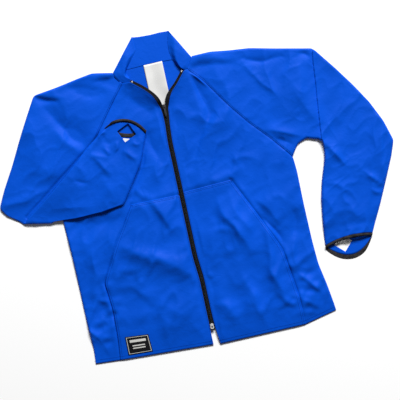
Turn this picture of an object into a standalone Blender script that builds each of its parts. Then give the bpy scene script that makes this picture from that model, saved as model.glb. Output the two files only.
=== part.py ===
"""Waterproof jacket laid flat on its back, built from cut pieces as thin walls.

+Z is up from the surface, +Y runs from the hem to the collar, +X is to the right as seen from above.
The origin is on the surface, on the centre-front line at chest height. Lengths are in millimetres
until a mesh is made. Left and right in names are the wearer's.
"""
import math

import bmesh
import bpy
import numpy as np
from mathutils import Matrix, Vector

MM = 0.001
WALL = 1.2                # cloth wall
SEAM_GAP = 0.4            # between pieces at a seam
ARMPIT_GAP = 1.2          # where seam and side edge turn down together
LAY_GAP = 0.3             # between a piece and what it lies on
BACK_MID = WALL / 2       # middle of the wall that rests on the surface
FRONT_MID = 5.0           # middle of the upper wall, where it lies smooth
EDGE_MID = WALL + LAY_GAP + 0.5   # middle of the upper wall where it turns down at a side
ROLL = 4.5                # width of the turned side edge

BLUE = (0.010, 0.098, 0.680, 1.0)
BLACK = (0.012, 0.013, 0.016, 1.0)
WHITE = (0.86, 0.86, 0.84, 1.0)
NICKEL = (0.62, 0.62, 0.64, 1.0)
GUNMETAL = (0.10, 0.10, 0.11, 1.0)

# ---- cut of the fronts, wearer's left (image right); the other front uses its own side column
# level name, zip edge x y, pocket seam x y, side or raglan edge x y, how far the edge is turned down
LEFT_FRONT_LEVELS = (
    ("hem", 11.5, -365, 231, -363, 315, -344, 1.0),
    ("above hem", 8.5, -325, 231, -325, 312, -318, 1.0),
    ("low", 8, -285, 230, -285, 306, -275, 1.0),
    ("seam top", 8, -221, 222, -221, 296, -221, 1.0),
    ("pocket foot", 8, -162, 214, -162, 293, -162, 1.0),
    ("pocket middle", 8, -65, 171, -65, 292, -65, 1.0),
    ("pocket top", 8, 28, 125, 33, 293, 20, 1.0),
    ("armpit", 8, 75, 122, 78, 290, 58, 0.5),
    ("chest", 8, 115, 118, 120, 242, 118, 0.0),
    ("upper chest", 8, 160, 108, 168, 200, 164, 0.0),
    ("yoke", 8, 205, 92, 222, 160, 216, 0.0),
    ("slider", 9, 245, 84, 256, 133, 258, 0.0),
    ("open neck", 22, 280, 76, 284, 112, 290, 0.0),
    ("under collar", 43, 303, 76, 306, 95, 309, 0.0),
    ("neck", 64, 326, 71, 327.5, 77, 328.5, 0.0),
)
RIGHT_FRONT_LEVELS = (
    ("hem", -8, -363, -245, -352, -307, -348, 1.0),
    ("above hem", -8, -325, -241, -318, -304, -311, 1.0),
    ("low", -8, -285, -238, -283, -306, -275, 1.0),
    ("seam top", -8, -221, -236, -221, -307, -221, 1.0),
    ("pocket foot", -8, -162, -242, -153, -307, -155, 1.0),
    ("pocket middle", -8, -65, -190, -60, -308, -65, 1.0),
    ("pocket top", -8, 24, -135, 25, -311, 20, 1.0),
    ("armpit", -8, 75, -128, 75, -309, 55, 0.5),
    ("chest", -8, 115, -124, 120, -254, 118, 0.0),
    ("upper chest", -8, 160, -112, 168, -208, 172, 0.0),
    ("yoke", -8, 205, -98, 222, -170, 228, 0.0),
    ("slider", -9, 245, -92, 254, -147, 258, 0.0),
    ("open neck", -22, 280, -84, 284, -122, 290, 0.0),
    ("under collar", -43, 303, -80, 306, -107, 309, 0.0),
    ("neck", -65, 326, -78, 327.5, -91, 328.5, 0.0),
)
POCKET_TOP_LEVEL = 6
ARMPIT_LEVEL = 7
LEVEL_STEPS = 3
INNER_COLUMNS = 9
OUTER_COLUMNS = 5

# back panel: half outline points that differ from the fronts
BACK_HEM = ((-307, -346), (-200, -338), (-60, -324), (0, -322), (60, -324), (200, -336), (315, -342))
BACK_NECK = ((92, 355), (50, 364), (0, 367), (-60, 364), (-106, 357))
# where the back meets the top of each sleeve, from the raglan seam to the neck
LEFT_BACK_SHOULDER = ((104, 310), (98, 332))
RIGHT_BACK_SHOULDER = ((-115, 310), (-110, 334))
RAGLAN_TOP_LEVELS = 2     # levels at the neck that only the fronts' raglan seam passes

# ---- sleeves: one row a section, outer edge x y, underarm edge x y, bow of the front and back walls,
# turn of the section in degrees (180 where folded over), how far the folded part sinks
LEFT_SLEEVE = (
    (100, 354, 290, 58, 0, 0, 0, 0),
    (142, 358, 297, 69, -12, -12, 0, 0),
    (190, 353, 303, 78, -6, -6, 0, 0),
    (240, 348, 309, 85, 0, 0, 0, 0),
    (300, 334, 318, 90, 0, 0, 0, 0),
    (360, 321, 334, 95, 0, 0, 0, 0),
    (393, 314, 362, 86, 0, 0, 0, 0),
    (402, 306, 371, 78, 0, 0, 0, 0),
    (442, 252, 371, 66, 0, 0, 0, 0),
    (475, 204, 370, 52, 0, 0, 0, 0),
    (507, 152, 367, 36, 0, 0, 0, 0),
    (532, 97, 362, 20, 0, 0, 0, 0),
    (547, 44, 355, 0, 0, 0, 0, 0),
    (533, 6, 347, -24, 0, 0, 0, 0),
    (505, -54, 337, -64, 0, 0, 0, 0),
    (480, -106, 330, -110, 2, 2, 0, 0),
    (459, -146, 325, -152, -6, 18, 0, 0),
    (445, -174, 323, -180, -10, 34, 0, 0),
)
RIGHT_SLEEVE = (
    (-114, 358, -309, 55, 0, 0, 0, 0),
    (-160, 370, -314, 54, -12, -12, 0, 0),
    (-200, 364, -318, 52, -4, -4, 0, 0),
    (-255, 354, -322, 49, 0, 0, 0, 0),
    (-316, 346, -325, 46, 0, 0, 0, 0),
    (-343, 300, -328, 43, 0, 0, 0, 0),
    (-373, 247, -330, 40, 0, 0, 0, 0),
    (-407, 183, -332, 37, 0, 0, 0, 0),
    (-440, 127, -334, 35, 0, 0, 0, 0),
    (-460, 86, -335, 33, 2, 2, 0, 0),
    (-448, 66, -336, 31.5, 0, 0, 0, 0),
    (-426, 50, -337, 30, 0, 0, 8, 0),
    (-409, 42, -337, 29, 0, 0, 60, 0),
    (-402, 41, -336, 28, 0, 0, 120, 0),
    (-399, 43, -333, 26, 0, 0, 172, 0),
    (-394, 48, -270, 21, 0, 0, 180, 0),
    (-380, 58, -205, 23, 0, 0, 180, 0),
    (-362, 70, -152, 30, 0, 0, 180, 0),
    (-330, 93, -133, 57, 0, 0, 180, 0.5),
    (-289, 124, -111, 90, 0, 0, 180, 1.5),
    (-248, 157, -88, 124, 0, 0, 180, 2.5),
    (-212, 188, -73, 160, 0, 4, 180, 3.5),
    (-160, 224, -60, 192, -14, 25, 180, 4.5),
)
TURN_AXIS_HEIGHT = 9.5    # height of the axis that the folded forearm turns about
SLEEVE_COLUMNS = 9
# cuff windows: centre x y, side, turn in degrees
LEFT_WINDOW = (368, -182, 33, 47)
RIGHT_WINDOW = (-106, 204, 34, 24)
WINDOW_DEPTH = 6.0

# ---- main folds of the cloth: from x y, to x y, height, half width
FOLDS = (
    (-175, -5, -105, -70, 6.0, 24),
    (-105, -70, -40, -108, 6.5, 22),
    (-60, -15, -25, -60, -1.8, 24),
    (85, 5, 112, -100, 6.0, 24),
    (112, -100, 130, -205, 7.5, 24),
    (130, -205, 165, -300, 6.0, 26),
    (200, -215, 215, -300, 4.0, 18),
    (60, 200, 110, 175, 6.0, 24),
    (60, 195, 25, 85, 4.5, 26),
    (-105, 262, -62, 240, -1.6, 24),
    (-240, 40, -190, 150, 3.0, 30),
    (150, 20, 215, 60, 3.0, 28),
    (190, 330, 250, 270, -1.6, 26),
    (310, 300, 345, 190, 5.0, 30),
    (345, 190, 360, 120, 4.0, 22),
    (430, 220, 470, 60, 4.5, 34),
    (400, 60, 380, -40, 4.0, 26),
    (420, -60, 400, -130, 3.5, 26),
    (-318, 345, -262, 215, 6.0, 28),
    (-262, 215, -240, 165, 3.5, 26),
    (-400, 180, -360, 120, 3.5, 34),
    (-140, 340, -240, 345, -1.2, 22),
)
FOREARM_FOLDS = (
    (-250, 105, -150, 110, 3.0, 26),
    (-190, 150, -120, 140, 3.5, 24),
    (-340, 65, -240, 50, 3.0, 26),
)
# places where the cloth lies smooth: centre x y, radius x y
SMOOTH_PLACES = ((0, -20, 30, 330), (-190, -322, 62, 55))

# ---- collar: neck seam x y, top edge x y, height of both
COLLAR_STATIONS = (
    (-68, 328.2, -70, 341, 5.0, 6.0),
    (-77, 328.8, -74, 347, 5.2, 6.8),
    (-85, 329.4, -76, 354, 5.4, 7.4),
    (-93, 334, -72, 363, 5.8, 7.8),
    (-99, 343, -59, 379, 6.2, 8.2),
    (-104, 351, -40, 404, 6.2, 8.2),
    (-106, 356.5, -41, 430, 5.8, 6.6),
    (-107.3, 358.5, -42.6, 435.5, 5.1, 5.7),
    (-108, 360, -43.5, 438.5, 3.3, 3.6),
    (-107.2, 361, -42.4, 438, 1.4, 1.4),
    (-104.5, 361.5, -40, 437, 0.7, 0.7),
    (-60, 365.3, -22, 435, 0.7, 0.7),
    (0, 368.2, 4, 434, 0.7, 0.7),
    (50, 365.3, 28, 435, 0.7, 0.7),
    (89, 359, 46, 434, 0.7, 0.7),
    (92.5, 358.5, 50, 434.5, 1.4, 1.4),
    (93.6, 357, 51.5, 434, 3.3, 3.6),
    (92.8, 354.5, 50.4, 431, 5.1, 5.7),
    (91, 351.5, 47.5, 424, 5.8, 6.6),
    (87.5, 345, 42, 403, 6.2, 8.2),
    (83.5, 338, 41, 382, 6.2, 8.2),
    (79, 332, 44, 362, 5.6, 7.8),
    (74, 330, 51, 348, 5.2, 7.0),
    (68, 329.2, 58, 340, 5.0, 6.0),
)
COLLAR_WALL = 1.4

# ---- zip
ZIP_FOOT = -324
ZIP_OPEN = 250            # where the upper slider parts the chain
ZIP_TOP = (65, 326)       # top end of an open half, mirrored for the other
TAPE_HALF = 12.5
TAPE_WALL = 0.8
TAPE_MID = FRONT_MID - WALL / 2 - LAY_GAP - TAPE_WALL / 2
CHAIN_WIDTH = 6.4
CHAIN_HEIGHT = 2.4
OPEN_TAPE_SHOWS = 7.5
PULL_SIZE = (5.2, 26.0, 1.2)
TEARDROP_SIZE = (10.7, 14.6, 1.4)

BINDING_WIDTH = 7.0
BINDING_WALL = 1.2
LABEL_WALL = 0.6
# white label on the inner side of the folded sleeve's front wall: x y, length, width, turn, height
CUFF_LABEL = (-112, 184, 26, 13, -18, 10.9)


def material(name, color, roughness, metallic=0.0):
    """Plain finish of one kind of piece."""
    made = bpy.data.materials.new(name)
    made.use_nodes = True
    shader = made.node_tree.nodes["Principled BSDF"]
    shader.inputs["Base Color"].default_value = color
    shader.inputs["Roughness"].default_value = roughness
    shader.inputs["Metallic"].default_value = metallic
    return made


def through(points, count):
    """Smooth curve through the points, resampled to count evenly spaced ones."""
    knots = np.array(points, dtype=float)
    chord = np.concatenate(([0.0], np.cumsum(np.linalg.norm(np.diff(knots, axis=0), axis=1))))
    slope = np.gradient(knots, chord, axis=0)
    fine = np.linspace(0.0, chord[-1], 40 * len(knots))
    index = np.clip(np.searchsorted(chord, fine, side="right") - 1, 0, len(knots) - 2)
    span = (chord[index + 1] - chord[index])[:, None]
    t = ((fine - chord[index])[:, None]) / span
    curve = (
        (2 * t**3 - 3 * t**2 + 1) * knots[index]
        + (t**3 - 2 * t**2 + t) * span * slope[index]
        + (-2 * t**3 + 3 * t**2) * knots[index + 1]
        + (t**3 - t**2) * span * slope[index + 1]
    )
    length = np.concatenate(([0.0], np.cumsum(np.linalg.norm(np.diff(curve, axis=0), axis=1))))
    even = np.linspace(0.0, length[-1], count)
    return np.stack([np.interp(even, length, curve[:, axis]) for axis in range(knots.shape[1])], axis=1)


def step(value):
    """Smooth rise from 0 to 1."""
    value = np.clip(value, 0.0, 1.0)
    return value * value * (3.0 - 2.0 * value)


def fold_height(x, y, folds):
    """Sum of the folds at each place: a soft ridge along a line, fading at its ends."""
    total = np.zeros_like(x)
    for start_x, start_y, end_x, end_y, height, width in folds:
        along_x = end_x - start_x
        along_y = end_y - start_y
        length = math.hypot(along_x, along_y)
        along = ((x - start_x) * along_x + (y - start_y) * along_y) / length
        across = ((x - start_x) * along_y - (y - start_y) * along_x) / length
        past_end = np.maximum(np.maximum(-along, along - length), 0.0)
        total += height * np.exp(-(across / width) ** 2 - (past_end / (1.4 * width)) ** 2)
    for centre_x, centre_y, reach_x, reach_y in SMOOTH_PLACES:
        distance = np.maximum(np.abs(x - centre_x) / reach_x, np.abs(y - centre_y) / reach_y)
        total *= step((distance - 1.0) / 0.7)
    return total


def upper_height(x, y):
    """Middle of the jacket's upper wall above the surface."""
    return np.maximum(FRONT_MID + fold_height(x, y, FOLDS), FRONT_MID - 1.8)


def turned_down(distance, width=ROLL):
    """Quarter-round profile of a side edge: 0 at the edge, 1 where the cloth lies level."""
    reach = np.clip(distance / width, 0.0, 1.0)
    return np.sqrt(np.maximum(1.0 - (1.0 - reach) ** 2, 0.0))


def grid_normals(grid):
    """Unit normals of a grid of points, seen from the side where columns run to the right of rows."""
    down = np.gradient(grid, axis=0)
    across = np.gradient(grid, axis=1)
    normal = np.cross(across, down)
    return normal / np.maximum(np.linalg.norm(normal, axis=2, keepdims=True), 1e-9)


def moved_out(grid, distance):
    """The grid moved along its upward normals."""
    normal = grid_normals(grid)
    if normal[..., 2].mean() < 0:
        normal = -normal
    return grid + normal * distance


def add_object(name, mesh, finish, parts):
    """Put a mesh in the jacket's collection."""
    mesh.materials.append(finish)
    piece = bpy.data.objects.new(name, mesh)
    parts.objects.link(piece)
    return piece


def cloth(name, grid, wall, finish, parts):
    """Open surface through a grid of points, given its wall by Solidify."""
    rows, columns = grid.shape[:2]
    shape = bmesh.new()
    points = [[shape.verts.new(Vector(point) * MM) for point in row] for row in grid]
    for row in range(rows - 1):
        for column in range(columns - 1):
            corner = points[row][column]
            across = points[row][column + 1]
            far = points[row + 1][column + 1]
            down = points[row + 1][column]
            shape.faces.new((corner, across, far))
            shape.faces.new((corner, far, down))
    shape.normal_update()
    mesh = bpy.data.meshes.new(name)
    shape.to_mesh(mesh)
    shape.free()
    mesh.shade_smooth()
    piece = add_object(name, mesh, finish, parts)
    solidify = piece.modifiers.new("wall", "SOLIDIFY")
    solidify.thickness = wall * MM
    solidify.offset = 0.0
    return piece


def plate(name, outline, low, high, finish, parts):
    """Flat piece: a filled outline, extruded between two heights."""
    curve = bpy.data.curves.new(name, "CURVE")
    curve.dimensions = "2D"
    curve.fill_mode = "BOTH"
    curve.extrude = (high - low) / 2 * MM
    spline = curve.splines.new("POLY")
    spline.points.add(len(outline) - 1)
    for point, (x, y) in zip(spline.points, outline):
        point.co = (x * MM, y * MM, 0.0, 1.0)
    spline.use_cyclic_u = True
    flat = bpy.data.objects.new(name + "_outline", curve)
    parts.objects.link(flat)
    flat.location.z = (low + high) / 2 * MM
    bpy.context.view_layer.update()
    evaluated = flat.evaluated_get(bpy.context.evaluated_depsgraph_get())
    mesh = bpy.data.meshes.new_from_object(evaluated)
    mesh.transform(flat.matrix_world)
    shape = bmesh.new()
    shape.from_mesh(mesh)
    bmesh.ops.remove_doubles(shape, verts=shape.verts, dist=0.01 * MM)
    bmesh.ops.recalc_face_normals(shape, faces=shape.faces)
    shape.to_mesh(mesh)
    shape.free()
    bpy.data.objects.remove(flat)
    mesh.materials.clear()
    return add_object(name, mesh, finish, parts)


def block(name, centre, size, finish, parts, bevel=0.4):
    """Box with softened edges."""
    shape = bmesh.new()
    bmesh.ops.create_cube(shape, size=1.0)
    bmesh.ops.scale(shape, vec=Vector(size) * MM, verts=shape.verts)
    bmesh.ops.translate(shape, vec=Vector(centre) * MM, verts=shape.verts)
    mesh = bpy.data.meshes.new(name)
    shape.to_mesh(mesh)
    shape.free()
    piece = add_object(name, mesh, finish, parts)
    softened = piece.modifiers.new("edges", "BEVEL")
    softened.width = bevel * MM
    softened.segments = 2
    return piece


def level_rows(levels):
    """Zip, pocket and side points of a front, with even rows between the named levels."""
    table = np.array([row[1:] for row in levels], dtype=float)
    fine = np.linspace(0, len(levels) - 1, (len(levels) - 1) * LEVEL_STEPS + 1)
    columns = [np.interp(fine, np.arange(len(levels)), table[:, column]) for column in range(7)]
    return np.stack(columns, axis=1)


def front_grid(levels):
    """Middle surface of one front, rows from hem to neck, columns from zip to side."""
    rows = level_rows(levels)
    away = 1.0 if rows[0, 4] > 0 else -1.0
    inner = np.linspace(0.0, 1.0, INNER_COLUMNS + 1)
    grid = []
    for zip_x, zip_y, pocket_x, pocket_y, side_x, side_y, turned in rows:
        side_x -= away * turned * WALL / 2
        width = math.hypot(side_x - pocket_x, side_y - pocket_y)
        even = np.linspace(0.0, width - ROLL, OUTER_COLUMNS + 1)[1:]
        outer = np.concatenate((even, (width - 0.3 * ROLL, width))) / width
        x = np.concatenate((zip_x + (pocket_x - zip_x) * inner, pocket_x + (side_x - pocket_x) * outer))
        y = np.concatenate((zip_y + (pocket_y - zip_y) * inner, pocket_y + (side_y - pocket_y) * outer))
        distance = np.concatenate((np.full(INNER_COLUMNS + 1, 2 * ROLL), width * (1.0 - outer)))
        down = 1.0 - turned * (1.0 - turned_down(distance))
        z = EDGE_MID + (upper_height(x, y) - EDGE_MID) * down
        grid.append(np.stack((x, y, z), axis=1))
    return np.array(grid)


def sleeve_columns(width):
    """Places across a sleeve wall, close together where its edges turn."""
    even = np.linspace(ROLL, width - ROLL, SLEEVE_COLUMNS)
    return np.concatenate(([0.0, 0.3 * ROLL], even, [width - 0.3 * ROLL, width]))


def section_directions(outer_x, outer_y, under_x, under_y, turn):
    """Unit vector from outer to underarm edge, the one towards the cuff, and the width."""
    line = np.array((under_x - outer_x, under_y - outer_y))
    width = float(np.hypot(*line))
    line = line / width
    ahead = np.array((-line[1], line[0]))
    if outer_x < 0 and turn <= 90:
        ahead = -ahead
    return line, ahead, width


def raglan_row(section, levels, shoulder):
    """First row of a sleeve wall: it follows the seam to the front or back, a gap aside."""
    seam = [row[5:7] for row in levels[ARMPIT_LEVEL + 1:]][::-1]
    if shoulder:
        seam[:RAGLAN_TOP_LEVELS] = list(shoulder)[::-1]
    outer = np.array(section[0:2], dtype=float)
    under = np.array(section[2:4], dtype=float)
    seam = np.array(seam, dtype=float)
    to_seam = (seam[0] - outer) / np.linalg.norm(seam[0] - outer)
    to_under = (seam[-1] - under) / np.linalg.norm(seam[-1] - under)
    turns = (0.0, 0.3 * ROLL, ROLL)
    start = [outer + to_seam * along for along in turns]
    end = [under + to_under * along for along in turns[::-1]]
    row = np.array(start + list(seam) + end)
    tangent = np.gradient(row, axis=0)
    tangent = tangent / np.linalg.norm(tangent, axis=1, keepdims=True)
    away = np.stack((-tangent[:, 1], tangent[:, 0]), axis=1)
    if outer[0] < 0:
        away = -away
    gap = np.full((len(row), 1), SEAM_GAP)
    gap[-4:] = ARMPIT_GAP
    return row + away * gap


def sleeve_grid(sections, wall_side, raglan):
    """Middle surface of a sleeve's front or back wall, a row for each section."""
    grid = []
    for outer_x, outer_y, under_x, under_y, front_bow, back_bow, turn, sink in sections:
        line, ahead, width = section_directions(outer_x, outer_y, under_x, under_y, turn)
        across = sleeve_columns(width)
        share = across / width
        bow = front_bow if wall_side == "front" else back_bow
        bowed = bow * np.sin(math.pi * share) ** 0.8
        x = outer_x + line[0] * across + ahead[0] * bowed
        y = outer_y + line[1] * across + ahead[1] * bowed
        if not grid:
            x, y = raglan[:, 0], raglan[:, 1]
        edge = np.minimum(across, width - across)
        spread = EDGE_MID + (FRONT_MID - EDGE_MID) * turned_down(edge)
        angle = math.radians(turn)
        if wall_side == "back":
            depth = np.full_like(x, BACK_MID)
        elif turn < 90:
            folded = turned_down(edge) * fold_height(x, y, FOLDS) * math.cos(angle)
            depth = np.maximum(spread + folded, EDGE_MID)
        else:
            depth = spread
        radius = TURN_AXIS_HEIGHT - depth
        x = x + line[1] * radius * math.sin(angle)
        y = y - line[0] * radius * math.sin(angle)
        z = TURN_AXIS_HEIGHT - radius * math.cos(angle)
        if turn > 90:
            z = z - sink
            if wall_side == "back":
                z = z + turned_down(edge, 25.0) * np.maximum(fold_height(x, y, FOREARM_FOLDS), 0.0)
        grid.append(np.stack((x, y, z), axis=1))
    return np.array(grid)


def cut_window(piece, window, height, cutters):
    """Cut the square window, set on its corner, through a cuff wall."""
    x, y, side, turn = window
    shape = bmesh.new()
    bmesh.ops.create_cube(shape, size=1.0)
    bmesh.ops.scale(shape, vec=Vector((side, side, WINDOW_DEPTH)) * MM, verts=shape.verts)
    placed = Matrix.Translation(Vector((x, y, height)) * MM) @ Matrix.Rotation(math.radians(turn), 4, "Z")
    shape.transform(placed)
    mesh = bpy.data.meshes.new(piece.name + "_window")
    shape.to_mesh(mesh)
    shape.free()
    cutter = bpy.data.objects.new(piece.name + "_window", mesh)
    cutter.hide_render = True
    cutter.display_type = "WIRE"
    cutters.objects.link(cutter)
    cut = piece.modifiers.new("window", "BOOLEAN")
    cut.operation = "DIFFERENCE"
    cut.object = cutter


def binding_grid(edge, ahead):
    """Band along one cuff edge, just past the cloth."""
    begin = edge + ahead * SEAM_GAP
    end = edge + ahead * (SEAM_GAP + BINDING_WIDTH)
    return np.stack((begin, (begin + end) / 2, end), axis=1)


def v_edge(side, count):
    """Edge of the open neck on one side, from the slider to the collar's top."""
    points = ((9, 240), (13, 262), (22, 280), (43, 303), ZIP_TOP)
    return through([(side * x, y) for x, y in points], count)


def tape_grid(side):
    """Zip tape: straight beside the chain, then spread along the open neck edge."""
    straight = np.linspace(ZIP_FOOT, ZIP_OPEN - 14, 16)
    rows = [((side * 0.3, y), (side * 6.5, y), (side * TAPE_HALF, y)) for y in straight]
    edge = v_edge(side, 12)[1:]
    tangent = np.gradient(edge, axis=0)
    tangent = tangent / np.linalg.norm(tangent, axis=1, keepdims=True)
    inward = np.stack((-side * tangent[:, 1], side * tangent[:, 0]), axis=1)
    for point, normal in zip(edge, inward):
        shown = point + normal * OPEN_TAPE_SHOWS
        shown[0] = side * max(side * shown[0], 0.3)
        hidden = point - normal * 4.0
        rows.append((tuple(shown), tuple((shown + hidden) / 2), tuple(hidden)))
    grid = np.array([[(x, y, TAPE_MID) for x, y in row] for row in rows])
    return grid


def teeth_grid(side):
    """Row of teeth along the open tape's inner edge."""
    edge = v_edge(side, 14)[3:-1]
    tangent = np.gradient(edge, axis=0)
    tangent = tangent / np.linalg.norm(tangent, axis=1, keepdims=True)
    inward = np.stack((-side * tangent[:, 1], side * tangent[:, 0]), axis=1)
    rows = []
    for point, normal in zip(edge, inward):
        inner = point + normal * OPEN_TAPE_SHOWS
        outer = point + normal * (OPEN_TAPE_SHOWS - 2.6)
        if side * inner[0] > 0.6:
            rows.append(((*inner, 0.0), (*outer, 0.0)))
    grid = np.array(rows)
    grid[..., 2] = TAPE_MID + TAPE_WALL / 2 + LAY_GAP + 0.9
    return grid


def pull_outline(width, length, top_share, count=6):
    """Teardrop or strap outline from its hinge at y = 0 down to -length."""
    radius = width / 2
    foot = [
        (radius * math.cos(angle), -length + radius + radius * math.sin(angle))
        for angle in np.linspace(0.0, -math.pi, 2 * count + 1)
    ]
    top = width * top_share / 2
    return [(top, 0.0)] + foot + [(-top, 0.0)]


def build_body(parts, cloth_finish):
    """Back, fronts and pockets."""
    left = front_grid(LEFT_FRONT_LEVELS)
    right = front_grid(RIGHT_FRONT_LEVELS)
    left_rows = level_rows(LEFT_FRONT_LEVELS)
    right_rows = level_rows(RIGHT_FRONT_LEVELS)
    outline = list(through(BACK_HEM, 13))
    last = -RAGLAN_TOP_LEVELS * LEVEL_STEPS
    outline += [(x, y) for x, y in left_rows[2:last, 4:6]] + list(LEFT_BACK_SHOULDER)
    outline += list(through(BACK_NECK, 11))
    outline += list(RIGHT_BACK_SHOULDER)[::-1] + [(x, y) for x, y in right_rows[2:last, 4:6][::-1]]
    plate("back_panel", outline, 0.0, WALL, cloth_finish, parts)
    cloth("front_left", left, WALL, cloth_finish, parts)
    cloth("front_right", right, WALL, cloth_finish, parts)
    pocket_rows = POCKET_TOP_LEVEL * LEVEL_STEPS + 1
    for name, grid in (("pocket_left", left), ("pocket_right", right)):
        lifted = moved_out(grid, WALL + LAY_GAP)
        cloth(name, lifted[:pocket_rows, : INNER_COLUMNS + 1], WALL, cloth_finish, parts)


def build_sleeves(parts, cutters, cloth_finish, binding_finish):
    """Sleeve walls, their cuff windows and bindings."""
    for name, sections, levels, shoulder, window, height in (
        ("left", LEFT_SLEEVE, LEFT_FRONT_LEVELS, LEFT_BACK_SHOULDER, LEFT_WINDOW, BACK_MID),
        ("right", RIGHT_SLEEVE, RIGHT_FRONT_LEVELS, RIGHT_BACK_SHOULDER, RIGHT_WINDOW,
         2 * TURN_AXIS_HEIGHT - 4.5),
    ):
        front = sleeve_grid(sections, "front", raglan_row(sections[0], levels, None))
        back = sleeve_grid(sections, "back", raglan_row(sections[0], levels, shoulder))
        cloth("sleeve_" + name + "_front", front, WALL, cloth_finish, parts)
        walled = cloth("sleeve_" + name + "_back", back, WALL, cloth_finish, parts)
        cut_window(walled, window, height, cutters)
        outer_x, outer_y, under_x, under_y, _, _, turn, _ = sections[-1]
        ahead = section_directions(outer_x, outer_y, under_x, under_y, turn)[1]
        for wall_side, grid in (("front", front), ("back", back)):
            band = binding_grid(grid[-1], np.array((*ahead, 0.0)))
            cloth(f"cuff_binding_{name}_{wall_side}", band, BINDING_WALL, binding_finish, parts)


def build_collar(parts, finish):
    """Stand collar: its back half lies on the surface, its front halves fold over it."""
    stations = np.array(COLLAR_STATIONS, dtype=float)
    seam = stations[:, [0, 1, 4]]
    top = stations[:, [2, 3, 5]]
    share = np.linspace(0.0, 1.0, 5)[None, :, None]
    grid = seam[:, None, :] * (1 - share) + top[:, None, :] * share
    cloth("collar", grid, COLLAR_WALL, finish, parts)


def build_zip(parts, tape_finish, teeth_finish, metal, dark_metal):
    """Tapes, chain, end stops, sliders and their pull tabs."""
    chain_low = TAPE_MID + TAPE_WALL / 2 + LAY_GAP
    for name, side in (("left", 1), ("right", -1)):
        cloth("zip_tape_" + name, tape_grid(side), TAPE_WALL, tape_finish, parts)
        cloth("zip_teeth_" + name, teeth_grid(side), 1.8, teeth_finish, parts)
        end = v_edge(side, 14)[-1]
        stop = (end[0] - side * 6.6, end[1] - 0.2, chain_low + 1.2)
        block("zip_stop_" + name, stop, (3.2, 4.0, 2.4), metal, parts)
    foot = ZIP_FOOT + 14
    chain_top = ZIP_OPEN - 8
    chain_centre = (0, (foot + chain_top) / 2, chain_low + CHAIN_HEIGHT / 2)
    block("zip_chain", chain_centre, (CHAIN_WIDTH, chain_top - foot, CHAIN_HEIGHT), teeth_finish, parts)
    block("zip_box", (0, ZIP_FOOT + 2, chain_low + 1.3), (8.6, 9.0, 2.6), tape_finish, parts)
    slider_y = ZIP_OPEN - 1.5
    block("slider_upper", (0, slider_y, chain_low + 2.3), (9.0, 12.0, 4.6), dark_metal, parts, 0.9)
    block("slider_lower", (0, foot - 3.9, chain_low + 1.9), (9.0, 6.8, 3.8), dark_metal, parts, 0.9)
    return chain_low


def hang(piece, y, height):
    """Put a tab's origin on its hinge line, across the zip."""
    hinge = Vector((0.0, y, height)) * MM
    piece.data.transform(Matrix.Translation(-hinge))
    piece.location = hinge


def build_pulls(parts, chain_low, metal, dark_metal):
    """Pull tabs, each on its own hinge line across the zip."""
    strap = pull_outline(PULL_SIZE[0], PULL_SIZE[1], 0.8)
    tab_low = chain_low + 4.6 + LAY_GAP
    slider_y = ZIP_OPEN - 1.5
    placed = [(x, y + slider_y + 1.0) for x, y in strap]
    tab = plate("pull_upper", placed, tab_low, tab_low + PULL_SIZE[2], dark_metal, parts)
    hang(tab, slider_y + 1.0, tab_low + PULL_SIZE[2] / 2)
    drop = pull_outline(TEARDROP_SIZE[0], TEARDROP_SIZE[1], 0.34)
    drop_low = chain_low + 3.8 + LAY_GAP
    placed = [(x, y + ZIP_FOOT + 15) for x, y in drop]
    tab = plate("pull_lower", placed, drop_low, drop_low + TEARDROP_SIZE[2], metal, parts)
    hang(tab, ZIP_FOOT + 15, drop_low + TEARDROP_SIZE[2] / 2)


def build_labels(parts, white, black):
    """Blank neck label, bare hem label and the small white one inside the right cuff."""
    neck = [(-29, 252), (19, 252), (19, 362), (-29, 362)]
    low = WALL + LAY_GAP
    plate("neck_label", neck, low, low + LABEL_WALL, white, parts)
    hem = [(-221, -344), (-159, -347), (-161, -302), (-220, -297)]
    low = FRONT_MID + WALL / 2 + LAY_GAP + WALL + LAY_GAP
    plate("hem_label", hem, low, low + LABEL_WALL, black, parts)
    x, y, length, width, turn, low = CUFF_LABEL
    along = np.array((math.cos(math.radians(turn)), math.sin(math.radians(turn)))) * length / 2
    across = np.array((-along[1], along[0])) * width / length
    middle = np.array((x, y))
    corners = [middle - along - across, middle + along - across, middle + along + across]
    corners.append(middle - along + across)
    plate("cuff_label", corners, low, low + LABEL_WALL, white, parts)


def main():
    """Build the whole jacket."""
    for old in list(bpy.data.objects):
        bpy.data.objects.remove(old, do_unlink=True)
    parts = bpy.data.collections.new("waterproof_jacket")
    cutters = bpy.data.collections.new("cutters")
    bpy.context.scene.collection.children.link(parts)
    bpy.context.scene.collection.children.link(cutters)
    blue_nylon = material("blue_nylon", BLUE, 0.42)
    black_elastic = material("black_elastic", BLACK, 0.8)
    black_tape = material("black_tape", BLACK, 0.75)
    teeth = material("zip_teeth", GUNMETAL, 0.4)
    metal = material("nickel", NICKEL, 0.3, 1.0)
    dark_metal = material("dark_metal", GUNMETAL, 0.35, 0.8)
    white_satin = material("white_satin", WHITE, 0.5)
    black_woven = material("black_woven", BLACK, 0.7)
    build_body(parts, blue_nylon)
    build_sleeves(parts, cutters, blue_nylon, black_elastic)
    build_collar(parts, blue_nylon)
    chain_low = build_zip(parts, black_tape, teeth, metal, dark_metal)
    build_pulls(parts, chain_low, metal, dark_metal)
    build_labels(parts, white_satin, black_woven)


main()
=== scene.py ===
import math

import bmesh
import bpy
import numpy as np
from mathutils import Matrix, Vector
from mathutils.bvhtree import BVHTree


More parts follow.
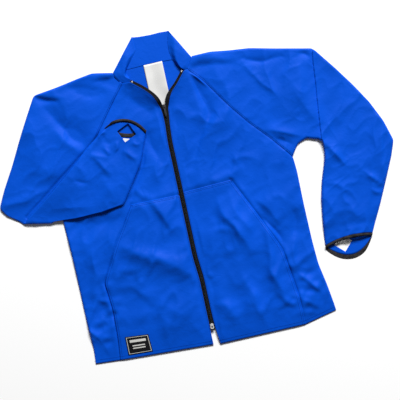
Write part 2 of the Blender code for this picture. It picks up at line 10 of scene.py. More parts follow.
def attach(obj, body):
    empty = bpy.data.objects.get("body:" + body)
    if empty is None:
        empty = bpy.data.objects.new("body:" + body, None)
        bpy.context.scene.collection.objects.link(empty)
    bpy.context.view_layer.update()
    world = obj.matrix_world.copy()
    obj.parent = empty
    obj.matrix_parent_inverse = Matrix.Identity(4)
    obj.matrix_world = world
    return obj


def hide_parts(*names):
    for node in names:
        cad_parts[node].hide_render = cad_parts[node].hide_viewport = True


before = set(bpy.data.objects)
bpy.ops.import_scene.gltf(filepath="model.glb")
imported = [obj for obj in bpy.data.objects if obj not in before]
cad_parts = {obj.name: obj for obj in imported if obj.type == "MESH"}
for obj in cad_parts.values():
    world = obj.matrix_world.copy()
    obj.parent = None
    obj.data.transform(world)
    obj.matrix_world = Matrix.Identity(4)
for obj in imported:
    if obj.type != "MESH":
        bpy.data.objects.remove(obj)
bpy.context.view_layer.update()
mm = 0.001
sideways = {"left": 1.0, "right": -1.0}  # which way the wearer's sides lie along x
print("frame loaded")

# how the cloth is laid: lengths in millimetres, x to the wearer's left, y from hem to collar
layout = {
    "backHeight": 0.6,        # middle of the wall that rests on the floor
    "frontHeight": 5.0,       # middle of the upper wall where it is smooth
    "edgeHeight": 2.0,        # where the upper wall turns down at a side
    "roll": 6.5,              # width of that turn
    "dip": 3.0,               # how far the upper wall may sink
    "puff": 2.6,              # how far it stands off where nothing holds it down
    "cuffDrop": 1.8,          # how much lower an open cuff lies
    "foldAxis": 7.6,          # height of the axis that the forearm is folded about
    "foldArc": 14.0,          # radius by which the rows round the fold are spaced
    "overRoll": 4.6,          # how far the folded forearm's edges turn down
    "overEdge": 14.0,         # strip along those edges where its creases fade out
    "overDip": 1.6,           # how far its creases may sink
    "wall": 0.55,
    "backWall": 0.6,
    "seamGap": 0.15,
    "grid": 3.4,              # spacing of a sheet's rows
    "fineGrid": 0.8,          # the same at the elbow's pleat
    "relief": 1.5,            # share of the creases' heights
    "crumple": 5.2,           # height of the small folds everywhere
    "crumpleChest": 0.72,     # share of it at the chest
}

# level: zip edge x y, pocket seam x y, side or raglan edge x y, how far the side is turned down
frontCut = {
    "left": (
        (11.5, -365, 231, -363, 315, -344, 1.0),
        (7.6, -325, 231, -325, 312, -318, 1.0),
        (6.1, -285, 230, -285, 306, -275, 1.0),
        (6.1, -221, 222, -221, 296, -221, 1.0),
        (6.1, -162, 214, -162, 293, -162, 1.0),
        (6.1, -65, 171, -65, 292, -65, 1.0),
        (6.1, 28, 125, 33, 293, 20, 1.0),
        (6.1, 75, 122, 78, 290, 58, 0.5),
        (6.1, 115, 118, 120, 242, 118, 0.0),
        (6.1, 160, 108, 168, 200, 164, 0.0),
        (6.1, 205, 92, 222, 160, 216, 0.0),
        (9, 245, 84, 256, 133, 258, 0.0),
        (24, 279, 76, 284, 112, 290, 0.0),
        (46, 300, 76, 306, 95, 309, 0.0),
        (67, 325.5, 72, 327.5, 77, 328.5, 0.0),
    ),
    "right": (
        (-6.1, -363, -245, -352, -307, -348, 1.0),
        (-6.1, -325, -241, -318, -304, -311, 1.0),
        (-6.1, -285, -238, -283, -306, -275, 1.0),
        (-6.1, -221, -236, -221, -307, -221, 1.0),
        (-6.1, -162, -242, -153, -307, -155, 1.0),
        (-6.1, -65, -190, -60, -308, -65, 1.0),
        (-6.1, 24, -135, 25, -311, 20, 1.0),
        (-6.1, 75, -128, 75, -309, 55, 0.5),
        (-6.1, 115, -124, 120, -254, 118, 0.0),
        (-6.1, 160, -112, 168, -208, 172, 0.0),
        (-6.1, 205, -98, 222, -170, 228, 0.0),
        (-9, 245, -92, 254, -147, 258, 0.0),
        (-22, 280, -84, 284, -122, 290, 0.0),
        (-43, 303, -80, 306, -107, 309, 0.0),
        (-70, 325.5, -80, 327.5, -91, 328.5, 0.0),
    ),
    "pocketTop": 6,           # level that the pocket's top seam runs along
    "armpit": 7,
}

# section: outer edge x y, underarm edge x y, bow of front and back wall, turn in degrees, sink when folded
sleeveCut = {
    "left": (
        (95, 359, 290, 58, 0, 0, 0, 0),
        (142, 360, 297, 69, -12, -12, 0, 0),
        (190, 353, 303, 78, -6, -6, 0, 0),
        (240, 348, 309, 85, 0, 0, 0, 0),
        (300, 334, 318, 90, 0, 0, 0, 0),
        (360, 321, 334, 95, 0, 0, 0, 0),
        (393, 314, 362, 86, 0, 0, 0, 0),
        (402, 306, 371, 78, 0, 0, 0, 0),
        (442, 252, 371, 66, 0, 0, 0, 0),
        (475, 204, 370, 52, 0, 0, 0, 0),
        (507, 152, 367, 36, 0, 0, 0, 0),
        (532, 97, 362, 20, 0, 0, 0, 0),
        (547, 44, 355, 0, 0, 0, 0, 0),
        (533, 6, 347, -24, 0, 0, 0, 0),
        (505, -54, 337, -64, 0, 0, 0, 0),
        (480, -106, 330, -110, 2, 2, 0, 0),
        (459, -146, 325, -152, -6, 18, 0, 0),
        (445, -174, 323, -180, -10, 39, 0, 0),
    ),
    "right": (
        (-109.5, 360, -309, 55, 0, 0, 0, 0),
        (-160, 370, -314, 54, -12, -12, 0, 0),
        (-200, 364, -318, 52, -4, -4, 0, 0),
        (-255, 354, -322, 49, 0, 0, 0, 0),
        (-316, 346, -325, 46, 0, 0, 0, 0),
        (-343, 300, -328, 43, 0, 0, 0, 0),
        (-373, 247, -330, 40, 0, 0, 0, 0),
        (-407, 183, -332, 37, 0, 0, 0, 0),
        (-440, 127, -334, 35, 0, 0, 0, 0),
        (-460, 86, -335, 33, 2, 2, 0, 0),
        (-448, 66, -336, 31.5, 0, 0, 0, 0),
        (-426, 50, -337, 30, 0, 0, 8, 0),
        (-409, 42, -337, 29, 0, 0, 60, 0),
        (-402, 41, -336, 28, 0, 0, 120, 0),
        (-399, 43, -333, 26, 0, 0, 172, 0),
        (-394, 48, -270, 21, 0, 0, 180, 0),
        (-380, 58, -205, 23, 0, 0, 180, -1.5),
        (-362, 70, -152, 30, 0, 0, 180, -3.5),
        (-330, 93, -133, 57, 0, 0, 180, -5.5),
        (-289, 124, -111, 90, 0, 0, 180, -6.0),
        (-248, 157, -88, 124, 0, 0, 180, -4.5),
        (-212, 188, -73, 160, 0, 4, 180, -1.5),
        (-160, 224, -60, 192, -14, 25, 180, 2.0),
    ),
    "leftShoulder": ((104, 310), (98, 332)),
    "rightShoulder": ((-115, 310), (-110, 334)),
    "shoulderTop": 292,
    "pleatSection": 6,        # where the left sleeve's rows are close
    "columns": 78,
    "plainColumns": 40,       # for the wall that lies hidden
    "cuffStart": (14.0, 2.6),               # section from which an open cuff lies lower, and the run
    "leftWindow": (368, -182, 0.6, 33, 47),      # centre x y z, side, turn in degrees
    "rightWindow": (-106, 204, 13.2, 34, 24),
    "windowDepth": 9.0,
}

creaseShape = {
    "points": 13,             # places along a crease
    "reach": 3,               # half widths from its line to where it ends
    "sharpness": 1.45,
    "fade": 0.75,             # how it dies out towards its ends
}
# creases of the upper walls: name, line, height, half width to the left and right of the line
upperCreases = (
    ("left pocket ridge", ((-192, -66), (-140, -96), (-88, -130), (-46, -159), (8, -196)), 8.5, 26, 22),
    ("left pocket upper", ((-88, 38), (-67, -8), (-41, -65)), 5, 26, 10),
    ("left pocket low", ((-210, -168), (-159, -195), (-114, -225)), 2.5, 20, 12),
    ("left pocket foot", ((-139, -220), (-105, -243), (-61, -278)), 2, 16, 14),
    ("left pocket side", ((-202, -129), (-173, -140), (-142, -137)), 2.5, 14, 10),
    ("right pocket ridge", ((84, 0), (90, -36), (106, -86), (128, -128), (137, -172)), 6, 28, 15),
    ("right pocket fold", ((184, -80), (180, -150), (176, -199), (187, -235), (195, -270), (200, -318)),
     6.5, 18, 11),
    ("right pocket long", ((112, 14), (124, -50), (152, -118)), 2.5, 12, 12),
    ("pocket mouth", ((172, -70), (203, -115), (219, -160)), -3.5, 7, 6),
    ("pocket streak", ((102, -194), (115, -253), (134, -330)), 3.5, 12, 16),
    ("hem crease", ((208, -278), (239, -297), (280, -328)), 2.6, 7, 7),
    ("pocket foot crease", ((178, -256), (203, -295), (223, -310)), 3, 8, 7),
    ("hem crease low", ((212, -333), (246, -331), (279, -346)), 2.6, 6, 7),
    ("side crease", ((239, -230), (260, -266), (290, -291)), 2.8, 8, 7),
    ("right low hump", ((12, -264), (46, -282), (72, -318)), 4, 12, 14),
    ("right pocket small", ((50, -88), (76, -88), (99, -101)), 1.8, 8, 8),
    ("right pocket tick", ((6, -178), (16, -188), (32, -198)), 3, 6, 6),
    ("soft valley", ((258, -70), (259, -113), (252, -155)), -4, 14, 14),
    ("chest trough", ((82, 321), (99, 258), (113, 201)), -4, 14, 12),
    ("chest ridge", ((165, 205), (120, 189), (80, 146), (33, 73)), 5.5, 35, 14),
    ("chest bright", ((71, 318), (86, 268), (85, 217)), 1.8, 12, 14),
    ("chest lines", ((212, 65), (172, 79), (137, 77)), 1.8, 10, 10),
    ("chest low", ((170, 59), (131, 47), (78, 43)), 2.2, 14, 8),
    ("chest small", ((148, 100), (152, 73), (158, 51)), 1.5, 8, 8),
    ("by the pocket mouth", ((167, -23), (200, -61), (227, -103)), 3.5, 30, 9),
    ("side arc", ((262, -132), (243, -174), (242, -225)), 3, 10, 10),
    ("right chest trough", ((-53, 211), (-53, 162), (-34, 98)), -3.5, 16, 14),
    ("chest valley", ((90, 195), (66, 140), (22, 62)), -5, 20, 26),
    ("chest corner", ((128, 205), (104, 200), (92, 172)), -3, 12, 10),
    ("right chest bright", ((-31, 253), (-20, 206), (-14, 141)), 2.5, 10, 12),
    ("above the pocket", ((-118, 65), (-102, 46), (-82, 42)), 2.5, 10, 8),
    ("under the zip half", ((-84, 306), (-60, 268), (-22, 228)), -2.5, 16, 16),
    ("left shoulder", ((78, 333), (122, 331), (205, 318)), -3.2, 12, 14),
    ("above the shoulder", ((84, 345), (126, 344), (190, 334)), 1.6, 14, 12),
    ("pleat at the stop", ((82, 321), (99, 304), (117, 277)), 3, 4, 4),
    ("right shoulder", ((-163, 352), (-124, 342), (-86, 342)), -6, 10, 11),
    ("above the right shoulder", ((-172, 366), (-142, 354), (-104, 352)), 2.4, 14, 10),
    ("right sleeve top", ((-240, 352), (-199, 335), (-163, 322), (-128, 314)), -4.5, 12, 15),
    ("corner", ((-316, 342), (-290, 325), (-250, 314)), -4, 8, 9),
    ("corner edge", ((-308, 344), (-284, 332), (-248, 320)), 2.2, 14, 8),
    ("corner slant", ((-301, 318), (-268, 262), (-235, 217), (-204, 184)), -5.5, 22, 12),
    ("corner ridge", ((-290, 262), (-258, 212), (-228, 178)), 2.5, 12, 14),
    ("upper arm low", ((-458, 88), (-425, 94), (-383, 94), (-322, 108)), 3.5, 14, 12),
    ("upper arm middle", ((-374, 219), (-328, 157), (-287, 143)), 2.5, 30, 24),
    ("upper arm edge", ((-342, 295), (-340, 211), (-368, 153)), 2, 24, 24),
    ("sleeve thin", ((216, 331), (249, 256), (285, 207)), 1.8, 12, 7),
    ("sleeve ridge", ((322, 238), (342, 187), (374, 118)), 3.2, 24, 16),
    ("sleeve bright", ((347, 305), (344, 243), (354, 169)), 2.4, 18, 16),
    ("inner elbow", ((370, 77), (394, 46), (414, 6)), 3.5, 12, 8),
    ("outer elbow", ((539, 118), (514, 38), (501, -55)), 4.5, 12, 26),
    ("outer crease", ((454, -13), (474, -38), (499, -64)), 3, 10, 7),
    ("outer crease low", ((464, -62), (476, -75), (495, -84)), 2.5, 7, 6),
    ("forearm mark", ((357, -28), (391, -41), (415, -72)), 1.5, 10, 8),
    ("forearm mark low", ((351, -104), (390, -103), (430, -122)), 1.5, 10, 8),
    ("underarm edge", ((229, 139), (281, 118), (328, 99)), 2.5, 14, 6),
    ("underarm hollow", ((239, 116), (271, 99), (299, 83)), -3.5, 10, 16),
    ("shoulder top", ((213, 329), (266, 312), (326, 304)), -2.5, 8, 8),
    ("elbow top", ((354, 313), (374, 307), (389, 295)), -3, 8, 10),
    ("beside the folded forearm", ((-66, 172), (-86, 124), (-125, 52), (-148, 20)), -5, 12, 9),
    ("below the folded forearm", ((-150, 2), (-217, -8), (-309, -4)), -5, 26, 20),
    ("pucker by the seam", ((-272, -186), (-256, -194), (-238, -207)), 2.6, 9, 7),
    ("second pucker by the seam", ((-276, -234), (-260, -244), (-242, -261)), 2.8, 10, 7),
    ("third pucker by the seam", ((-302, -261), (-293, -271), (-282, -284)), 2.0, 7, 6),
)
# creases of the folded forearm, same columns
forearmCreases = (
    ("star top", ((-210, 170), (-186, 160), (-160, 152)), 2, 7, 7),
    ("star slant", ((-210, 168), (-186, 142), (-163, 100)), 2.6, 13, 7),
    ("star right", ((-162, 147), (-152, 124), (-152, 98)), 1.2, 12, 10),
    ("near the cuff", ((-124, 166), (-108, 147), (-88, 131)), 2.4, 10, 6),
    ("arc bright", ((-246, 150), (-237, 134), (-231, 116)), 1.4, 9, 7),
    ("arc dark", ((-264, 124), (-248, 110), (-224, 101)), -2, 6, 6),
    ("mark", ((-274, 133), (-261, 120), (-247, 114)), 1.2, 7, 6),
    ("lower", ((-347, 61), (-287, 50), (-221, 44)), 2.5, 22, 14),
    ("pucker one", ((-176, 202), (-168, 215), (-155, 215)), 2, 4, 4),
    ("pucker two", ((-162, 209), (-160, 193), (-149, 185)), -2.2, 4, 4),
    ("pucker three", ((-171, 180), (-163, 168), (-160, 157)), 2.5, 5, 5),
    ("pucker four", ((-137, 193), (-136, 175), (-146, 164)), 2, 5, 5),
    ("pucker five", ((-94, 179), (-86, 167), (-75, 169)), 1.8, 5, 5),
    ("pucker six", ((-115, 175), (-132, 166), (-141, 153)), -1.5, 5, 5),
    ("low ridge", ((-198, 103), (-174, 72), (-166, 34)), 2, 16, 16),
)
# puckered places: centre x y, radius x y, size of a pucker, height, seed, stretch, turn in degrees
upperPuckers = (
    (240, -288, 66, 74, 13, 3.8, 3, 1.7, 15),
    (-250, -250, 46, 110, 14, 3.8, 4, 1.7, 15),
    (395, -170, 90, 45, 13, 1.4, 5, 1.7, 15),
)
forearmPuckers = ((-115, 195, 75, 45, 12, 1.0, 23, 1.5, 30),)
# soft waves and small folds: size, seed, stretch, turn in degrees, height
upperWaves = ((95, 10, 1.5, 50, 2.2), (44, 11, 1.8, 60, 1.2))
upperFolds = ((62, 41, 2.3, 62, 1.0), (30, 43, 1.8, 25, 0.28))
forearmWaves = ((40, 21, 1.7, 40, 0.8),)
forearmFolds = ((60, 45, 2.0, 35, 0.45), (26, 47, 1.6, 70, 0.16))
# smooth strip along the zip and flat place under the hem label: centre x y, half size x y
smoothPlaces = ((0, -20, 13, 330), (-190, -322, 46, 40))
# the body stays low under the folded forearm: its middle line, half width and run to either side
underForearm = {
    "line": ((-330, 60), (-215, 112), (-104, 200)),
    "most": 3.5,
    "elsewhere": 12.0,        # how much more it may rise away from that line
    "half": 46,
    "run": 22.0,
}
# where the upper wall starts to stand off, and over what run: beside the zip, below the collar, by the neck
puffReach = {"zip": (12, 45.0), "collar": (280, 40.0), "neck": (135, 35.0)}


def rise(value):  # smooth step from 0 to 1
    value = np.clip(value, 0.0, 1.0)
    return value * value * (3.0 - 2.0 * value)


def softNoise(x, y, size, seed, stretch=1.0, turn=0.0):  # smooth random field from -1 to 1
    lattice = np.random.default_rng(seed).uniform(-1.0, 1.0, (128, 128))
    cosine, sine = math.cos(math.radians(turn)), math.sin(math.radians(turn))
    u, v = (x * cosine + y * sine) / (size * stretch), (y * cosine - x * sine) / size
    column, row = np.floor(u).astype(int), np.floor(v).astype(int)
    partU, partV = rise(u - column), rise(v - row)
    near = [[lattice[(row + down) % 128, (column + over) % 128] for over in (0, 1)] for down in (0, 1)]
    upper = near[0][0] + (near[0][1] - near[0][0]) * partU
    lower = near[1][0] + (near[1][1] - near[1][0]) * partU
    return upper + (lower - upper) * partV


def smoothLine(points, count):  # points of a curve through a few places
    knots = np.array(points, dtype=float)
    slope = np.gradient(knots, axis=0)
    at = np.linspace(0, len(knots) - 1, count)
    index = np.minimum(at.astype(int), len(knots) - 2)
    t = (at - index)[:, None]
    return (
        (2 * t**3 - 3 * t**2 + 1) * knots[index] + (t**3 - 2 * t**2 + t) * slope[index]
        + (3 * t**2 - 2 * t**3) * knots[index + 1] + (t**3 - t**2) * slope[index + 1]
    )


def lineDistance(x, y, line):  # distance to a polyline, on which side (1 is its left), and how far along
    line = np.asarray(line, dtype=float)
    best, side, along = np.full(np.shape(x), 1e9), np.zeros(np.shape(x)), np.zeros(np.shape(x))
    for part, (start, end) in enumerate(zip(line[:-1], line[1:])):
        step = end - start
        t = np.clip(((x - start[0]) * step[0] + (y - start[1]) * step[1]) / (step @ step), 0, 1)
        distance = np.hypot(x - start[0] - t * step[0], y - start[1] - t * step[1])
        closer = distance < best
        best = np.where(closer, distance, best)
        side = np.where(closer, np.sign(step[0] * (y - start[1]) - step[1] * (x - start[0])), side)
        along = np.where(closer, (part + t) / (len(line) - 1), along)
    return best, side, along


def creaseHeight(x, y, creases):
    total = np.zeros_like(x)
    for name, points, height, leftWidth, rightWidth in creases:
        line = smoothLine(points, creaseShape["points"])
        reach = creaseShape["reach"] * max(leftWidth, rightWidth)
        low, high = line.min(axis=0) - reach, line.max(axis=0) + reach
        near = (x > low[0]) & (x < high[0]) & (y > low[1]) & (y < high[1])
        if not near.any():
            continue
        distance, side, along = lineDistance(x[near], y[near], line)
        width = np.where(side > 0, leftWidth, rightWidth)
        fade = np.sin(math.pi * np.clip(along, 0.02, 0.98)) ** creaseShape["fade"]
        profile = np.exp(-((distance / width) ** creaseShape["sharpness"]))
        total[near] += layout["relief"] * height * fade * profile
    return total


# the zip's open halves stand up a little: line of the cloth's edge, top of the tape, height, half width
openHalves = {
    "left": {
        "line": ((9, 245), (13, 262), (24, 279), (46, 300), (68, 326)), "tapeTop": (68, 326),
        "height": 5.5, "width": 13,
    },
    "right": {
        "line": ((-9, 245), (-13, 262), (-22, 280), (-43, 303), (-71, 326)), "tapeTop": (-72, 326),
        "height": 10.5, "width": 17,
    },
}
openRise = {"sharpness": 1.35, "from": 246, "run": 26}
# the sleeve's cloth overlaps itself at the elbow: the step's line, its two heights with their half widths
elbowPleat = {
    "line": ((396, 316), (391, 282), (386, 227), (378, 162), (375, 130), (369, 80)),
    "over": (3.0, 16.0),
    "under": (-1.4, 9.0),
    "reach": 80,
    "lowest": 60,
}
# the cloth is drawn in along the pockets' seams and the raglan seams
seamShape = {
    "depth": 1.9,
    "outerWidth": 2.4,
    "innerWidth": 4.0,
    "swell": (1.0, 0.8),      # beside a pocket's side and above its top
    "swellAt": 7.5,
    "swellWidth": 6.0,
    "raglan": {"left": 0.9, "right": 2.2},
    "raglanWidth": 3.2,
}


def neckRise(x, y):
    total = np.zeros(np.shape(x))
    for half in openHalves.values():
        distance = lineDistance(x, y, smoothLine(half["line"], 16))[0]
        profile = np.exp(-((distance / half["width"]) ** openRise["sharpness"]))
        total += half["height"] * profile * rise((y - openRise["from"]) / openRise["run"])
    return total


def pleatRise(x, y):
    distance, side, _ = lineDistance(x, y, elbowPleat["line"])
    steps = (elbowPleat["over"], elbowPleat["under"])
    over, under = (height * np.exp(-distance / width) for height, width in steps)
    return np.where(side > 0, over, under) * (distance < elbowPleat["reach"]) * (y > elbowPleat["lowest"])


def seamTrough(x, y):
    total = np.zeros(np.shape(x))
    for side, away in sideways.items():
        table = np.array(frontCut[side], dtype=float)
        pocket = table[: frontCut["pocketTop"] + 1]
        top = np.stack((pocket[-1, 0:2], pocket[-1, 2:4]))
        for line, outer, swell in zip((pocket[:, 2:4], top), (-away, away), seamShape["swell"]):
            distance, nearSide, _ = lineDistance(x, y, line)
            width = np.where(nearSide == outer, seamShape["outerWidth"], seamShape["innerWidth"])
            total -= seamShape["depth"] * np.exp(-((distance / width) ** 2))
            raised = swell * np.exp(-(((distance - seamShape["swellAt"]) / seamShape["swellWidth"]) ** 2))
            total += np.where(nearSide == outer, raised, 0.0)
        distance = lineDistance(x, y, table[frontCut["armpit"]:, 4:6])[0]
        total -= seamShape["raglan"][side] * np.exp(-((distance / seamShape["raglanWidth"]) ** 2))
    return total


def puffed(x, y):  # the wall stands off except along the zip and at the collar
    (zipFrom, zipRun), (collarFrom, collarRun), (neckFrom, neckRun) = puffReach.values()
    collarShare = rise((y - collarFrom) / collarRun) * rise((neckFrom - np.abs(x)) / neckRun)
    return layout["puff"] * rise((np.abs(x) - zipFrom) / zipRun) * (1.0 - collarShare)


def bent(x, y, reach, size, seed):  # places moved a little at random, so that no crease runs straight
    return x + reach * softNoise(x, y, size, seed), y + reach * softNoise(x, y, size, seed + 1)


def waves(x, y, table):
    total = 0.0
    for size, seed, stretch, turn, height in table:
        total = total + height * softNoise(x, y, size, seed, stretch, turn)
    return total


def smallFolds(x, y, table):  # a loose network of soft creases
    total = 0.0
    for size, seed, stretch, turn, height in table:
        field = softNoise(x, y, size, seed, stretch, turn)
        field = field + 0.5 * softNoise(x, y, size * 0.45, seed + 1, stretch, turn)
        total = total + height * ((1.0 - np.abs(np.clip(field, -1.0, 1.0))) ** 2 - 0.4)
    return total


def puckered(x, y, table):
    total = np.zeros(np.shape(x))
    for centreX, centreY, reachX, reachY, size, height, seed, stretch, turn in table:
        near = rise(1.4 - np.hypot((x - centreX) / reachX, (y - centreY) / reachY))
        total += near * height * softNoise(x, y, size, seed, stretch, turn)
    return total


def upperRelief(x, y):  # creases, small unevenness and puckers of the upper walls
    bentX, bentY = bent(x, y, 6.0, 44, 31)
    total = creaseHeight(bentX, bentY, upperCreases) + waves(x, y, upperWaves)
    share = layout["crumpleChest"] + (1.0 - layout["crumpleChest"]) * rise((60 - y) / 200.0)
    total += layout["crumple"] * smallFolds(bentX, bentY, upperFolds) * share
    total += puckered(x, y, upperPuckers)
    for centreX, centreY, reachX, reachY in smoothPlaces:
        far = np.maximum(np.abs(x - centreX) / reachX, np.abs(y - centreY) / reachY)
        total *= rise((far - 1.0) / 0.7)
    total += puffed(x, y)
    beyond = rise((lineDistance(x, y, underForearm["line"])[0] - underForearm["half"]) / underForearm["run"])
    total = np.minimum(total, underForearm["most"] + underForearm["elsewhere"] * beyond)
    return total + neckRise(x, y) + pleatRise(x, y) + seamTrough(x, y)


def forearmRelief(x, y):
    bentX, bentY = bent(x, y, 4.0, 34, 33)
    total = creaseHeight(bentX, bentY, forearmCreases) + waves(x, y, forearmWaves)
    total += layout["crumple"] * smallFolds(bentX, bentY, forearmFolds)
    return total + puckered(x, y, forearmPuckers)


def turnedDown(distance, width):
    reach = np.clip(distance / width, 0.0, 1.0)
    return np.sqrt(np.maximum(1.0 - (1.0 - reach) ** 2, 0.0))


def smooth(values, times):  # each row is drawn towards its neighbours, in place
    for _ in range(times):
        values[1:-1] = (values[:-2] + 2 * values[1:-1] + values[2:]) / 4


def evenRows(table, points, spacing, turnColumn=None, soften=8, fine=()):
    knots = np.array(table, dtype=float)
    index = []
    for row in range(len(knots) - 1):
        change = knots[row + 1] - knots[row]
        far = max(math.hypot(change[column], change[column + 1]) for column in points)
        if turnColumn is not None:
            far = max(far, abs(math.radians(change[turnColumn])) * layout["foldArc"])
        count = max(2, round(far / (layout["fineGrid"] if row in fine else spacing)))
        index += [row + part / count for part in range(count)]
    index.append(len(knots) - 1)
    rows = np.stack([np.interp(index, np.arange(len(knots)), column) for column in knots.T], axis=1)
    smooth(rows, soften)
    return rows, np.array(index)


def gridNormals(grid):
    normal = np.cross(np.gradient(grid, axis=1), np.gradient(grid, axis=0))
    normal /= np.maximum(np.linalg.norm(normal, axis=2, keepdims=True), 1e-9)
    return normal if normal[..., 2].mean() > 0 else -normal


def unit(vectors):
    return vectors / np.linalg.norm(vectors, axis=1, keepdims=True)


def resampled(points, shares):  # places on a polyline at shares of its length
    points = np.asarray(points, dtype=float)
    length = np.concatenate(([0.0], np.cumsum(np.linalg.norm(np.diff(points, axis=0), axis=1))))
    at = np.asarray(shares) * length[-1]
    return np.stack([np.interp(at, length, column) for column in points.T], axis=1)


def upperHeight(x, y):
    return np.maximum(layout["frontHeight"] + upperRelief(x, y), layout["frontHeight"] - layout["dip"])


def named(*words):  # "sleeve", "left", "back" make sleeveLeftBack
    return words[0] + "".join(word.capitalize() for word in words[1:])


def makeObject(name, data, finish=None):
    if finish is not None:
        data.materials.append(finish)
    piece = bpy.data.objects.new(name, data)
    bpy.context.scene.collection.objects.link(piece)
    return piece


def meshFrom(name, shape):
    mesh = bpy.data.meshes.new(name)
    shape.to_mesh(mesh)
    shape.free()
    return mesh


def makePlain(piece):  # what its modifiers make becomes its own mesh
    made = bpy.data.meshes.new_from_object(piece.evaluated_get(bpy.context.evaluated_depsgraph_get()))
    piece.modifiers.clear()
    piece.data = made


def clothMesh(name, grid):  # a sheet through a grid of points, with its size on the cut as UV
    rows, columns = grid.shape[:2]
    number = np.arange(rows * columns).reshape(rows, columns)
    quads = np.stack((number[:-1, :-1], number[:-1, 1:], number[1:, 1:], number[1:, :-1]), axis=-1)
    mesh = bpy.data.meshes.new(name)
    mesh.from_pydata((grid.reshape(-1, 3) * mm).tolist(), [], quads.reshape(-1, 4).tolist())
    across, along = np.zeros((rows, columns)), np.zeros((rows, columns))
    across[:, 1:] = np.cumsum(np.linalg.norm(np.diff(grid, axis=1), axis=2), axis=1)
    along[1:] = np.cumsum(np.linalg.norm(np.diff(grid, axis=0), axis=2), axis=0)
    flat = np.stack((across - across.mean(axis=1, keepdims=True), along), axis=2).reshape(-1, 2) * mm
    corners = np.zeros(len(mesh.loops), dtype=np.int64)
    mesh.loops.foreach_get("vertex_index", corners)
    layer = mesh.uv_layers.new(name="cut")
    layer.data.foreach_set("uv", flat[corners].ravel())
    mesh.shade_smooth()
    return mesh


def addCloth(name, grid, finish, wall=layout["wall"]):
    piece = makeObject(name, clothMesh(name, grid), finish)
    solidify = piece.modifiers.new("wall", "SOLIDIFY")
    solidify.thickness = wall * mm
    solidify.offset = 0.0
    return piece


# materials
def basicMaterial(name, look):
    made = bpy.data.materials.new(name)
    made.use_nodes = True
    shader = made.node_tree.nodes["Principled BSDF"]
    shader.inputs["Base Color"].default_value = (*look["color"], 1.0)
    shader.inputs["Roughness"].default_value = look["roughness"]
    shader.inputs["Metallic"].default_value = look.get("metallic", 0.0)
    shader.inputs["Specular IOR Level"].default_value = look.get("gloss", 0.5)
    return made, shader


def addNode(tree, kind, settings=None, links=()):  # a link names a node, its outlet and the inlet it feeds
    node = tree.nodes.new(kind)
    for key, value in (settings or {}).items():
        if isinstance(key, int) or key in node.inputs:
            node.inputs[key].default_value = value
        else:
            setattr(node, key, value)
    for source, outlet, inlet in links:
        tree.links.new(source.outputs[outlet], node.inputs[inlet])
    return node


def addNoise(tree, body, scale, detail, distortion=0.0):
    settings = {"Scale": scale, "Detail": detail, "Distortion": distortion}
    return addNode(tree, "ShaderNodeTexNoise", settings, [(body, "Object", "Vector")])


def addBump(tree, strength, distance, *links):
    return addNode(tree, "ShaderNodeBump", {"Strength": strength, "Distance": distance}, links)


def varied(tree, shader, noise, look):  # the colour and the roughness drift with a noise
    ramp = addNode(tree, "ShaderNodeValToRGB", links=[(noise, "Fac", "Fac")])
    factors = (look["darker"], look["lighter"])
    for stop, place, factor in zip(ramp.color_ramp.elements, look["shadeAt"], factors):
        stop.position = place
        stop.color = (*(min(1.0, part * factor) for part in look["color"]), 1.0)
    low, high = look["roughSpread"]
    settings = {"To Min": look["roughness"] + low, "To Max": look["roughness"] + high}
    spread = addNode(tree, "ShaderNodeMapRange", settings, [(noise, "Fac", "Value")])
    tree.links.new(ramp.outputs["Color"], shader.inputs["Base Color"])
    tree.links.new(spread.outputs["Result"], shader.inputs["Roughness"])


def fabricMaterial(name, look):  # its weave lies on the piece's UV map where it has one
    made, shader = basicMaterial(name, look)
    tree = made.node_tree
    body = addNode(tree, "ShaderNodeTexCoord")
    if look["layer"]:
        place, outlet = addNode(tree, "ShaderNodeUVMap", {"uv_map": look["layer"]}), "UV"
    else:
        place, outlet = body, "Object"
    weave = addNode(tree, "ShaderNodeMath", {"operation": "ADD"})
    for slot, (direction, pitch) in enumerate((("X", look["threadAcross"]), ("Y", look["threadAlong"]))):
        settings = {"bands_direction": direction, "Scale": bandScale / pitch, **threadWave}
        thread = addNode(tree, "ShaderNodeTexWave", settings, [(place, outlet, "Vector")])
        tree.links.new(thread.outputs["Fac"], weave.inputs[slot])
    fine = addBump(tree, look["weaveStrength"], look["weaveDepth"], (weave, 0, "Height"))
    wrinkle = addNoise(tree, body, look["wrinkleScale"], 3.0, 0.7)
    soft = addBump(tree, look["wrinkleStrength"], look["wrinkleDepth"],
                   (wrinkle, "Fac", "Height"), (fine, "Normal", "Normal"))
    cloud = addNoise(tree, body, look["shadeScale"], 4.0)
    varied(tree, shader, cloud, look)
    tree.links.new(soft.outputs["Normal"], shader.inputs["Normal"])
    return made


def hardMaterial(name, look):
    made, shader = basicMaterial(name, look)
    tree = made.node_tree
    body = addNode(tree, "ShaderNodeTexCoord")
    grain = addNoise(tree, body, look["grainScale"], 4.0)
    marks = addBump(tree, look["grainStrength"], look["grainDepth"], (grain, "Fac", "Height"))
    varied(tree, shader, grain, look)
    tree.links.new(marks.outputs["Normal"], shader.inputs["Normal"])
    return made


